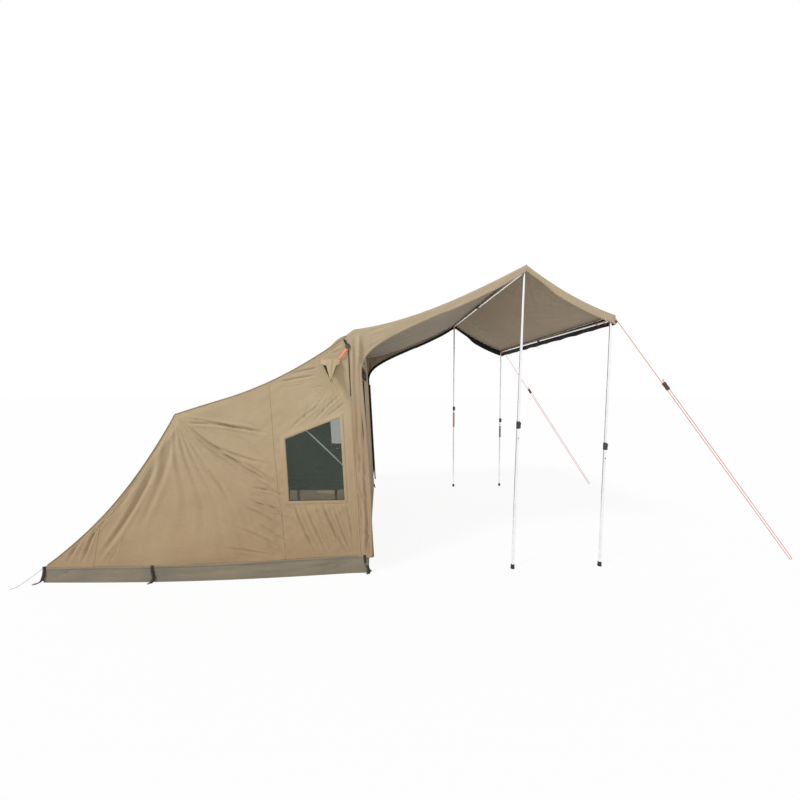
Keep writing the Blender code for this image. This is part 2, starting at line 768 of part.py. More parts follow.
def make_awning():
    shares = [i / BACK_STEPS for i in range(BACK_STEPS + 1)]
    spread = [2 * j / CROSS_STEPS - 1 for j in range(CROSS_STEPS + 1)]
    back = [[back_point(s, v) for v in spread] for s in shares]
    add_part("awning_back_slope", grid_shell(back, SHEET), AWNING_INSIDE)
    seam = 2 * SEAM / (EDGE_AHEAD - RIDGE_AHEAD)
    shares = [seam + (1 - seam) * i / FRONT_STEPS for i in range(FRONT_STEPS + 1)]
    front = [[front_point(s, v) for v in spread] for s in shares]
    add_part("awning_front_slope", grid_shell(front, SHEET), AWNING_INSIDE)

    half = flap_y(DOOR_X + EDGE_AHEAD, FRONT_HEIGHT) + SHEET
    top = -SHEET - 2 * SEAM
    steps = 4 * EDGE_SCALLOPS
    hem = []
    for i in range(steps + 1):
        y_share = 1 - 2 * i / steps
        dip = EDGE_SCALLOP * abs(math.sin(math.pi * EDGE_SCALLOPS * i / steps))
        hem.append((half * y_share, edge_z(y_share) - VALANCE_EDGE + dip))
    outline = [(-half, edge_z(-1) + top), (half, edge_z(1) + top)] + hem
    strip = lambda y, z, depth: (edge_front(y) - depth, y, z)
    add_part("front_valance", panel(outline, [], 1.0, strip, SHEET), BLACK_TAPE)

    for name, side in SIDES.items():
        make_side_flap(name, side)


def valance_drop(ahead, name):
    """Depth of the side valance at a distance ahead of the foot of the door."""
    if ahead < RIDGE_AHEAD:
        return VALANCE_PEAK + (VALANCE_BACK - VALANCE_PEAK) * smooth((RIDGE_AHEAD - ahead) / 0.20)
    return VALANCE_PEAK + (VALANCE_FRONT[name] - VALANCE_PEAK) * smooth((ahead - RIDGE_AHEAD - 0.14) / 0.16)


def wing_curve(lap):
    """The concave lower edge between the valance and the wing, a cubic curve of (x, z)."""
    top = back_edge_at(WING_CURVE_TOP)
    start = Vector((DOOR_X + WING_CURVE_TOP, top - VALANCE_BACK))
    before = back_edge_at(WING_CURVE_TOP + 0.05) - top
    end = Vector((door_x(WING_CURVE_FOOT) + lap, WING_CURVE_FOOT))
    slope = before / 0.05
    rise = (start.y - slope * (start.x - end.x)) - end.y
    corner = Vector((end.x - DOOR_LEAN * rise, end.y + rise))
    first = start.lerp(corner, WING_CURVE_HANDLE)
    second = end.lerp(corner, WING_CURVE_HANDLE)
    steps = 12
    curve = []
    for i in range(steps + 1):
        t = i / steps
        u = 1 - t
        curve.append(start * u ** 3 + first * 3 * u * u * t + second * 3 * u * t * t + end * t ** 3)
    return curve


def back_edge_at(ahead):
    """Height of the back slope's right edge at a distance ahead of the foot of the door."""
    share = (ahead + RIDGE_SETBACK) / (RIDGE_AHEAD + RIDGE_SETBACK)
    return back_point(share, -1.0)[2]


def make_side_flap(name, side):
    """Side valance of the awning, which widens into the wing that covers the cabin's front corner."""
    lap = WING_LAP[name]
    under = SHEET + SEAM
    back = [back_point(i / BACK_STEPS, side) for i in range(BACK_STEPS + 1)]
    seam = 2 * SEAM / (EDGE_AHEAD - RIDGE_AHEAD)
    front = [front_point(seam + (1 - seam) * i / FRONT_STEPS, side) for i in range(FRONT_STEPS + 1)]
    front_end = edge_x(side) - SHEET - 2 * SEAM
    top_line = [(x, z - under) for x, y, z in back] + [(x, z - under) for x, y, z in front[1:-1]]
    last, edge = front[-2], front[-1]
    end_z = last[2] + (edge[2] - last[2]) * (front_end - last[0]) / (edge[0] - last[0]) - under
    top_line.append((front_end, end_z))
    lower = [(front_end, edge_z(side) - VALANCE_EDGE)]
    for x, y, z in reversed(front[1:-1]):
        lower.append((x, z - valance_drop(x - DOOR_X, name)))
    for x, y, z in reversed(back):
        if x - DOOR_X > WING_CURVE_TOP + 0.03:
            lower.append((x, z - valance_drop(x - DOOR_X, name)))
    lower += [tuple(p) for p in wing_curve(lap)]
    lower.append((door_x(WING_FOOT) + lap, WING_FOOT))
    lower.append((door_x(WING_FOOT) - WING_BACK, WING_FOOT))
    crown = FRONT_HEIGHT - 0.10
    setback = DOOR_LEAN * crown + WING_BACK
    lower.append((DOOR_X - setback, min(crown, roof_z(setback) - under)))
    lower.append((DOOR_X - setback, roof_z(setback) - under))
    outline = top_line + lower
    place = lambda x, z, depth: (x, side * (flap_y(x, z) + SHEET - depth), z)
    add_part("awning_side_" + name, panel(outline, [], WALL_SPACING, place, SHEET), CANVAS_PALE)
    if name == "right":
        height = 0.686
        place = (door_x(height) + lap, side * (flap_y(DOOR_X, height) + SHEET / 2), height)
        lean = axis_empty("wing_zip_axis", place, (-DOOR_LEAN, 0, 1), (1, 0, 0))
        slider = cut(zip_slider(0.004), box((-0.01, -SHEET / 2 - SEAM, -0.02), (SEAM, SHEET / 2 + SEAM, 0.02)))
        add_part("wing_zip_slider_right", slider, ZIP_METAL, lean)


# The frame folds in the plane of the side walls: two arms swing down from the front ridge while
# each strut's collar runs down its upright.

ARM_ANGLE = math.atan(ROOF_PITCH)
ARM_LIFT = (ARM_RADIUS + SHEET + 2 * SEAM) / math.cos(ARM_ANGLE)
ARM_PIVOT = Vector((DOOR_X - ARM_PIVOT_SETBACK,
                    REAR_HEIGHT + (REAR_SETBACK - ARM_PIVOT_SETBACK) * ROOF_PITCH - ARM_LIFT))
ARM_WAY = Vector((-math.cos(ARM_ANGLE), -math.sin(ARM_ANGLE)))


def upright_x(height):
    return door_x(height) - UPRIGHT_SETBACK


def rear_bar_centre():
    """The rear ridge bar lies in the corner of the arms' line and the rear wall."""
    rear_way = (rear_line()[0] - REAR_RIDGE).normalized()
    rear_normal = Vector((-rear_way.y, rear_way.x))
    corner_reach = REAR_BAR_CLEARANCE / (ARM_WAY.x * rear_normal.x + ARM_WAY.y * rear_normal.y)
    along = ARM_WAY.dot(REAR_RIDGE - ARM_PIVOT)
    on_axis = ARM_PIVOT + ARM_WAY * along
    slack = (on_axis - REAR_RIDGE).dot(rear_normal)
    return on_axis + ARM_WAY * ((REAR_BAR_CLEARANCE - slack) * corner_reach / REAR_BAR_CLEARANCE)


def make_uprights():
    """Uprights behind the door wall, each with the bracket and pin that its roof arm turns on."""
    foot_z = SHEET + SEAM + 0.018 * DOOR_LEAN
    top = RIDGE_BAR_HEIGHT - 0.024
    stretch = math.hypot(1, DOOR_LEAN)
    length = (top - foot_z) * stretch
    inner = UPRIGHT_RADIUS - TUBE_WALL
    profile = [(0, 0), (0.018, 0), (0.018, 0.006), (UPRIGHT_RADIUS, 0.014), (UPRIGHT_RADIUS, length),
               (inner, length), (inner, 0.010), (0, 0.010)]
    level = (ARM_PIVOT.y - foot_z) * stretch
    low, high = level - BRACKET_LENGTH / 2, level + BRACKET_LENGTH / 2
    tube = union(turned(profile), pipe(CASTING_RADIUS, inner + TUBE_WALL / 2, low, high))
    for name, side in SIDES.items():
        y = side * FRAME_Y
        foot = (upright_x(foot_z), y, foot_z)
        stand = axis_empty("upright_axis_" + name, foot, (-DOOR_LEAN, 0, 1), (1, 0, 0))
        mesh = placed(tube.copy(), stand.matrix_world)
        for out in (-1, 1):
            near = out * (ARM_TONGUE / 2 + PIN_CLEARANCE)
            ends = sorted((y + near, y + near + out * CHEEK))
            plate = stadium((upright_x(ARM_PIVOT.y), ARM_PIVOT.y), tuple(ARM_PIVOT), 0.0155, 0.0125)
            mesh = union(mesh, slab(plate, ends[0], ends[1]))
        reach = ARM_TONGUE / 2 + PIN_CLEARANCE + CHEEK + 0.0015
        mesh = union(mesh, rod_across(PIN_RADIUS, ARM_PIVOT.x, ARM_PIVOT.y, y - reach, y + reach))
        bore = rod(inner, low - 0.01, high + 0.01)
        mesh = cut(placed(mesh, stand.matrix_world.inverted()), bore)
        add_part("upright_" + name, mesh, ALUMINIUM, stand)


def make_ridge_bar():
    """Front ridge bar with the corner castings that take the uprights."""
    bar_x = upright_x(RIDGE_BAR_HEIGHT)
    end = FRAME_Y + CASTING_RADIUS
    mesh = rod_across(UPRIGHT_RADIUS, bar_x, RIDGE_BAR_HEIGHT, -end, end, ROUND_SIDES)
    lean = Matrix.Rotation(-math.atan(DOOR_LEAN), 4, "Y")
    for side in SIDES.values():
        y = side * FRAME_Y
        seat = Matrix.Translation((bar_x, y, RIDGE_BAR_HEIGHT)) @ lean
        mesh = union(mesh, placed(rod(CASTING_RADIUS, -CASTING_LENGTH, -CASTING_TOP), seat))
    for side in SIDES.values():
        seat = Matrix.Translation((bar_x, side * FRAME_Y, RIDGE_BAR_HEIGHT)) @ lean
        socket = placed(rod(UPRIGHT_RADIUS + SEAM, -CASTING_LENGTH - 0.01, -0.0232), seat)
        mesh = cut(mesh, socket)
    bore = rod_across(UPRIGHT_RADIUS - TUBE_WALL, bar_x, RIDGE_BAR_HEIGHT, -end - 0.01, end + 0.01, ROUND_SIDES)
    mesh = cut(mesh, bore)
    add_part("front_ridge_bar", mesh, ALUMINIUM)


def make_roof_frame():
    """The two roof arms and the two bars between them, which swing together about the front ridge."""
    pivot = (ARM_PIVOT.x, 0, ARM_PIVOT.y)
    hinge = axis_empty("roof_frame_hinge", pivot, (ARM_WAY.x, 0, ARM_WAY.y), (0, 0, 1))
    reach = (rear_bar_centre() - ARM_PIVOT).length
    mesh = pipe(ARM_RADIUS, ARM_RADIUS - TUBE_WALL, 0.022, reach)
    tongue = slab(stadium((0, 0), (0, 0.045), 0.0100, 0.0100), -ARM_TONGUE / 2, ARM_TONGUE / 2)
    hole = PIN_RADIUS + PIN_CLEARANCE
    mesh = union(mesh, tongue)
    mesh = cut(mesh,
               rod_across(hole, 0, 0, -0.03, 0.03),
               rod_across(hole, 0, STRUT_REACH, -0.03, 0.03),
               rod_across(ARM_RADIUS + SEAM, 0, reach, -0.03, 0.03, ROUND_SIDES))
    for name, side in SIDES.items():
        arm = add_part("roof_arm_" + name, mesh, ALUMINIUM, hinge)
        arm.location = (0, side * FRAME_Y, 0)

    half = FRAME_Y - ARM_RADIUS - SEAM
    bar = pipe(MID_BAR_RADIUS, MID_BAR_RADIUS - TUBE_WALL, -half, half)
    turn = Matrix.Rotation(math.radians(-90), 4, "X")
    piece = add_part("mid_roof_bar", placed(bar, turn), ALUMINIUM, hinge)
    piece.location = (0, 0, STRUT_REACH + MID_BAR_OFFSET)
    half = HALF_WIDTH - SHEET - 0.004
    bar = pipe(ARM_RADIUS, ARM_RADIUS - TUBE_WALL, -half, half)
    piece = add_part("rear_ridge_bar", placed(bar, turn), ALUMINIUM, hinge)
    piece.location = (0, 0, reach)


def make_struts():
    """Diagonal struts, pinned to the arms, and the collars that carry their lower ends."""
    upper = ARM_PIVOT + ARM_WAY * STRUT_REACH
    lower = Vector((upright_x(COLLAR_HEIGHT) - COLLAR_SETBACK, COLLAR_HEIGHT))
    length = (lower - upper).length
    way = (lower - upper).normalized()
    plane = HALF_WIDTH - STRUT_INSET
    pin_end = FRAME_Y + ARM_RADIUS + 0.003 - plane
    washer_end = FRAME_Y - ARM_RADIUS - SEAM - plane
    boss_face = FRAME_Y - 0.0165
    rivet_end = boss_face - SEAM - plane
    for name, side in SIDES.items():
        mesh = pipe(STRUT_RADIUS, STRUT_RADIUS - TUBE_WALL, 0.020, length - 0.020)
        half = STRUT_TONGUE / 2
        for end, inward in ((0.0, 0.045), (length, length - 0.045)):
            plate = stadium((0, end), (0, inward), 0.0085, 0.0075)
            mesh = union(mesh, slab(plate, -half, half))
        for radius, height, start, reach in ((0.0065, 0.0, half + 0.002, washer_end), (PIN_RADIUS, 0.0, 0.0, pin_end),
                                             (0.0060, length, half + 0.002, rivet_end)):
            ends = sorted((-side * start, side * reach))
            mesh = union(mesh, rod_across(radius, 0, height, ends[0], ends[1]))
        hang = axis_empty("strut_pin_" + name, (upper.x, side * plane, upper.y), (way.x, 0, way.y), (0, 0, -1))
        add_part("strut_" + name, mesh, ALUMINIUM, hang)

        half = COLLAR_LENGTH / 2
        bore = UPRIGHT_RADIUS + SEAM
        ring = turned([(COLLAR_RADIUS, 0.004 - half), (COLLAR_RADIUS - 0.002, 0.007 - half),
                       (COLLAR_RADIUS - 0.002, half - 0.007), (COLLAR_RADIUS, half - 0.004),
                       (COLLAR_RADIUS - 0.001, half), (bore, half), (bore, -half),
                       (COLLAR_RADIUS - 0.001, -half)])
        ear = slab(stadium((-0.012, 0), (-COLLAR_SETBACK, 0), 0.013, 0.0105), -0.006, 0.006)
        ends = sorted((0, -side * (FRAME_Y - boss_face)))
        boss = rod_across(0.008, -COLLAR_SETBACK, 0, ends[0], ends[1])
        mesh = cut(union(ring, ear, boss), rod(bore, -0.03, 0.03))
        seat = (upright_x(COLLAR_HEIGHT), side * FRAME_Y, COLLAR_HEIGHT)
        run = axis_empty("collar_axis_" + name, seat, (-DOOR_LEAN, 0, 1), (1, 0, 0))
        add_part("strut_collar_" + name, mesh, DARK_PLASTIC, run)


# Each leg is a pair of telescopic tubes with a cam clamp, a rubber foot and a spigot at its top.

def awning_underside(ahead, side):
    """Height of the awning's underside over the legs' row at a distance ahead of the foot of the door."""
    y_share = side * LEG_Y / (flap_y(DOOR_X + ahead, FRONT_HEIGHT) + SHEET)
    ridge = RIDGE_AHEAD - y_share * RIDGE_SKEW / 2
    front = EDGE_AHEAD - y_share * EDGE_SKEW / 2
    if ahead <= ridge:
        share = (ahead + RIDGE_SETBACK) / (ridge + RIDGE_SETBACK)
        return back_point(share, y_share)[2] - SHEET
    return front_point((ahead - ridge) / (front - ridge), y_share)[2] - SHEET


def clamp_meshes():
    """The clamp's split sleeve with its ears and pin, and its cam lever."""
    wide = LEG_OUTER_RADIUS + SEAM
    narrow = LEG_INNER_RADIUS + LEG_FIT
    top, lip = CLAMP_LENGTH, CLAMP_LENGTH - CLAMP_LIP
    outer = CLAMP_RADIUS
    sleeve = turned([(outer - 0.0012, 0), (outer, 0.004), (outer, top - 0.008), (outer - 0.002, top),
                     (narrow, top), (narrow, lip), (wide, lip), (wide, 0)])
    inner_face = LEVER_WIDTH / 2 + 0.0004
    ear = stadium((0.0135, LEVER_PIN_HEIGHT), (LEVER_PIN_OUT, LEVER_PIN_HEIGHT), 0.0075, 0.0040)
    reach = inner_face + 0.0032
    for low, high in ((-inner_face - 0.0025, -inner_face), (inner_face, inner_face + 0.0025)):
        sleeve = union(sleeve, slab(ear, low, high))
    sleeve = union(sleeve, rod_across(LEVER_PIN_RADIUS, LEVER_PIN_OUT, LEVER_PIN_HEIGHT, -reach, reach, 10))
    sleeve = cut(sleeve, rod(wide, -0.01, lip), rod(narrow, lip - 0.002, top + 0.01))

    half = LEVER_WIDTH / 2
    pin = (0, 0)
    cam = slab(stadium(pin, (0.0005, -0.008), LEVER_CAM, 0.0030), -half, half)
    handle = slab([(-0.0022, -0.006), (-0.0030, -0.020), (-0.0030, -0.038), (-0.0020, -0.044), (0.0004, -0.046),
                   (0.0014, -0.040), (0.0010, -0.020), (0.0034, -0.006)], -half, half)
    lever = cut(union(cam, handle), rod_across(LEVER_PIN_RADIUS + 0.0003, 0, 0, -0.02, 0.02, 10))
    return sleeve, lever


def foot_mesh(frame):
    """Rubber cup, cut level with the ground whatever the leg's lean."""
    bore = LEG_OUTER_RADIUS + SEAM
    mesh = turned([(0, -0.01), (FOOT_RADIUS, -0.01), (FOOT_RADIUS, 0.012), (FOOT_RADIUS - 0.0015, 0.015),
                   (FOOT_RADIUS - 0.0015, FOOT_HEIGHT - 0.002), (FOOT_RADIUS - 0.0025, FOOT_HEIGHT),
                   (bore, FOOT_HEIGHT), (bore, FOOT_SOLE), (0, FOOT_SOLE)])
    mesh.transform(frame)
    work = bmesh.new()
    work.from_mesh(mesh)
    found = bmesh.ops.bisect_plane(work, geom=work.verts[:] + work.edges[:] + work.faces[:],
                                   plane_co=(0, 0, 0), plane_no=(0, 0, 1), clear_inner=True)
    rim = [item for item in found["geom_cut"] if isinstance(item, bmesh.types.BMEdge)]
    bmesh.ops.edgenet_fill(work, edges=rim)
    bmesh.ops.recalc_face_normals(work, faces=work.faces)
    work.to_mesh(mesh)
    work.free()
    mesh.transform(frame.inverted())
    return mesh


def make_leg(row, name, side, ahead, level, clamp_top, clamp, lever):
    """One leg from its foot on the ground to the spigot under the awning."""
    foot_ahead, top_ahead = ahead
    foot = Vector((DOOR_X + foot_ahead, side * LEG_Y, 0))
    top = Vector((DOOR_X + top_ahead, side * LEG_Y, level))
    stretch = (top - foot).length / level
    tilt = LEG_INNER_RADIUS * abs(top_ahead - foot_ahead) / level
    shoulder = (level - FORK_THICKNESS / 2 - SEAM) * stretch - tilt
    low_reach = awning_underside(top_ahead - SPIGOT_RADIUS + SPIGOT_CHAMFER, side)
    high_reach = awning_underside(top_ahead + SPIGOT_RADIUS - SPIGOT_CHAMFER, side)
    tip = (min(low_reach, high_reach) - SEAM) * stretch
    start = clamp_top * stretch - LEG_OVERLAP
    bore = LEG_INNER_RADIUS - LEG_WALL
    upper = turned([(0, shoulder - 0.004), (0, tip), (SPIGOT_RADIUS - SPIGOT_CHAMFER, tip), (SPIGOT_RADIUS, tip - SPIGOT_CHAMFER),
                    (SPIGOT_RADIUS, shoulder), (LEG_INNER_RADIUS, shoulder), (LEG_INNER_RADIUS, start),
                    (bore, start), (bore, shoulder - 0.004)][1:] + [(0, shoulder - 0.004)])
    sleeve_low = clamp_top * stretch - CLAMP_LENGTH
    tube_top = clamp_top * stretch - CLAMP_LIP - SEAM
    lower = pipe(LEG_OUTER_RADIUS, LEG_INNER_RADIUS + LEG_FIT, FOOT_SOLE + SEAM, tube_top)
    stem = "%s_leg_%s" % (row, name)
    fixed = axis_empty(stem + "_axis", foot, top - foot, (1, 0, 0))
    sliding = axis_empty(stem + "_slide", foot, top - foot, (1, 0, 0))
    add_part(stem + "_upper", upper, ALUMINIUM, fixed)
    add_part(stem + "_lower", lower, ALUMINIUM, sliding)
    collar = add_part(stem + "_clamp", clamp, DARK_PLASTIC, sliding)
    collar.location = (0, 0, sleeve_low)
    arm = add_part(stem + "_lever", lever, DARK_PLASTIC, sliding)
    arm.location = (LEVER_PIN_OUT, 0, sleeve_low + LEVER_PIN_HEIGHT)
    add_part(stem + "_foot", foot_mesh(sliding.matrix_world), RUBBER, sliding)


def make_spreader(row, ahead, level):
    """Telescopic bar whose forks sit on the spigots of the two legs."""
    left = Vector((DOOR_X + ahead["left"][1], LEG_Y, level))
    right = Vector((DOOR_X + ahead["right"][1], -LEG_Y, level))
    length = (right - left).length
    middle = length / 2
    bore = BAR_INNER_RADIUS + LEG_FIT
    half = FORK_WIDTH / 2

    def fork(at, inward):
        low, high = sorted((at - inward * FORK_REACH, at + inward * 0.050))
        plate = box((-FORK_THICKNESS / 2, -half, low), (FORK_THICKNESS / 2, half, high))
        slot_low, slot_high = sorted((at, at - inward * 0.03))
        slot = box((-0.02, -FORK_SLOT, slot_low), (0.02, FORK_SLOT, slot_high))
        turn = Matrix.Translation((0, 0, at)) @ Matrix.Rotation(math.radians(90), 4, "Y")
        return cut(plate, slot, placed(rod(FORK_SLOT, -0.02, 0.02), turn))

    outer = union(pipe(BAR_OUTER_RADIUS, bore, 0.025, middle), fork(0.0, 1))
    ring = turned([(BAR_COLLAR_RADIUS, middle - BAR_COLLAR_LENGTH), (BAR_COLLAR_RADIUS, middle),
                   (BAR_COLLAR_RADIUS - 0.001, middle + 0.002), (bore, middle + 0.002),
                   (bore, middle - BAR_COLLAR_LENGTH)])
    outer = union(outer, ring)
    inner = pipe(BAR_INNER_RADIUS, BAR_INNER_RADIUS - LEG_WALL, middle - BAR_OVERLAP, length - 0.025)
    inner = union(inner, fork(length, -1))
    fixed = axis_empty(row + "_bar_axis", left, right - left, (0, 0, 1))
    sliding = axis_empty(row + "_bar_slide", left, right - left, (0, 0, 1))
    add_part(row + "_spreader_outer", outer, ALUMINIUM, fixed)
    add_part(row + "_spreader_inner", inner, ALUMINIUM, sliding)


def make_legs():
    clamp, lever = clamp_meshes()
    for name, side in SIDES.items():
        make_leg("ridge", name, side, RIDGE_LEG_AHEAD[name], RIDGE_BAR_LEVEL, RIDGE_CLAMP_TOP, clamp, lever)
        make_leg("front", name, side, EDGE_LEG_AHEAD[name], EDGE_BAR_LEVEL, EDGE_CLAMP_TOP, clamp, lever)
    make_spreader("ridge", RIDGE_LEG_AHEAD, RIDGE_BAR_LEVEL)
    make_spreader("front", EDGE_LEG_AHEAD, EDGE_BAR_LEVEL)


def smooth_route(points, steps):
    """Points read from a smooth curve that passes through the route's own points."""
    points = [Vector(p) for p in points]
    ends = [2 * points[0] - points[1]] + points + [2 * points[-1] - points[-2]]
    read = []
    for i in range(1, len(ends) - 2):
        p0, p1, p2, p3 = ends[i - 1: i + 3]
        near = min(1.0, (p2 - p1).length / max((p1 - p0).length, 1e-9))
        far = min(1.0, (p2 - p1).length / max((p3 - p2).length, 1e-9))
        start = (p2 - p0) / 2 * near
        end = (p3 - p1) / 2 * far
        for k in range(steps):
            t = k / steps
            read.append(p1 * (2 * t ** 3 - 3 * t * t + 1) + start * (t ** 3 - 2 * t * t + t)
                        + p2 * (3 * t * t - 2 * t ** 3) + end * (t ** 3 - t * t))
    read.append(points[-1])
    return read


def add_cord(name, route, radius, look, steps, resolution):
    """A rope as a bevelled curve with filled caps."""
    curve = bpy.data.curves.new(name, "CURVE")
    curve.dimensions = "3D"
    curve.bevel_depth = radius
    curve.bevel_resolution = resolution
    curve.use_fill_caps = True
    curve.materials.append(material(name, look))
    points = smooth_route(route, steps)
    spline = curve.splines.new("POLY")
    spline.points.add(len(points) - 1)
    for point, place in zip(spline.points, points):
        point.co = (*place, 1.0)
    cord = bpy.data.objects.new(name, curve)
    bpy.context.scene.collection.objects.link(cord)


def guy_line(name, side):
    """Start, direction and length of a front guy rope, from the awning's corner to its peg."""
    start = Vector((edge_front(side * LEG_Y) + 0.012, side * LEG_Y, edge_z(side) - ROPE_DROP - 0.006))
    peg = Vector((DOOR_X + ROPE_PEG_AHEAD[name], side * LEG_Y, ROPE_SPACING / 2 + ROPE_RADIUS + 0.0008))
    down = (peg - start).normalized()
    beside = Vector((-down.z, 0, down.x))
    return start, peg, down, beside


def guy_route(name, side):
    """Out of the corner, down to the peg, round it and back up to the runner."""
    start, peg, down, beside = guy_line(name, side)
    foot = peg - beside * ROPE_SPACING / 2
    way = (foot - start).normalized()
    length = (foot - start).length
    front = edge_front(start.y)
    level = edge_z(side) - ROPE_DROP
    route = [Vector((front + 2 * SEAM, start.y, level)), Vector((front + 0.006, start.y, level - 0.001))]
    route += [start + way * length * share for share in (0, 0.004, 0.02, 0.10, 0.25, 0.45, 0.65, 0.85, 0.97, 0.995)]
    for degrees in (-90, -60, -30, 0, 30, 60, 90):
        turn = math.radians(degrees)
        route.append(peg + (beside * math.sin(turn) + way * math.cos(turn)) * ROPE_SPACING / 2)
    back = peg + beside * ROPE_SPACING / 2
    rest = length - RUNNER_DISTANCE + RUNNER_LENGTH / 2 + 0.020
    route += [back - way * rest * share for share in (0.006, 0.03, 0.15, 0.35, 0.6, 0.85, 0.97, 1.0)]
    return route


def make_ropes():
    for name, side in SIDES.items():
        add_cord("guy_rope_" + name, guy_route(name, side), ROPE_RADIUS, ROPE_RED, 3, 2)
        start, peg, down, beside = guy_line(name, side)
        foot = peg - beside * ROPE_SPACING / 2
        way = (foot - start).normalized()
        centre = start + way * RUNNER_DISTANCE + beside * ROPE_SPACING / 2
        run = axis_empty("runner_axis_" + name, centre, way, beside)
        half, wide, thick = RUNNER_LENGTH / 2, RUNNER_WIDTH / 2, RUNNER_THICKNESS / 2
        outline = [(-wide, -half + 0.006), (-wide + 0.006, -half), (wide - 0.006, -half), (wide, -half + 0.006),
                   (wide, -half + 0.016), (wide - 0.002, 0), (wide, half - 0.016),
                   (wide, half - 0.006), (wide - 0.006, half), (-wide + 0.006, half), (-wide, half - 0.006),
                   (-wide, half - 0.016), (-wide + 0.002, 0), (-wide, -half + 0.016)]
        mesh = slab(outline, -thick, thick)
        for x in (-ROPE_SPACING / 2, ROPE_SPACING / 2):
            hole = placed(rod(ROPE_RADIUS + RUNNER_FIT, -half - 0.01, half + 0.01, SMALL_SIDES), Matrix.Translation((x, 0, 0)))
            mesh = cut(mesh, hole)
        add_part("rope_runner_" + name, mesh, RUNNER_BROWN, run)
    rear = -FLOOR_LENGTH / 2
    level = TUB_REAR_HEIGHT - 0.010
    route = [(rear - SEAM, -1.192, level), (rear - 0.006, -1.192, level), (rear - 0.016, -1.197, level - 0.006),
             (rear - 0.050, -1.217, 0.070), (rear - 0.095, -1.246, 0.032), (rear - 0.122, -1.262, 0.011),
             (rear - 0.140, -1.273, 0.0030), (rear - 0.160, -1.285, 0.0020)]
    add_cord("rear_guy_cord", route, REAR_CORD_RADIUS, CORD_GREY, 4, 2)


clear_scene()
make_tub()
make_cabin()
make_front()
make_awning()
make_uprights()
make_ridge_bar()
make_roof_frame()
make_struts()
make_legs()
make_ropes()
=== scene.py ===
"""A touring tent with a fast-folding frame, pitched: canvas cabin, vinyl tub and open peaked awning."""

import json
import math

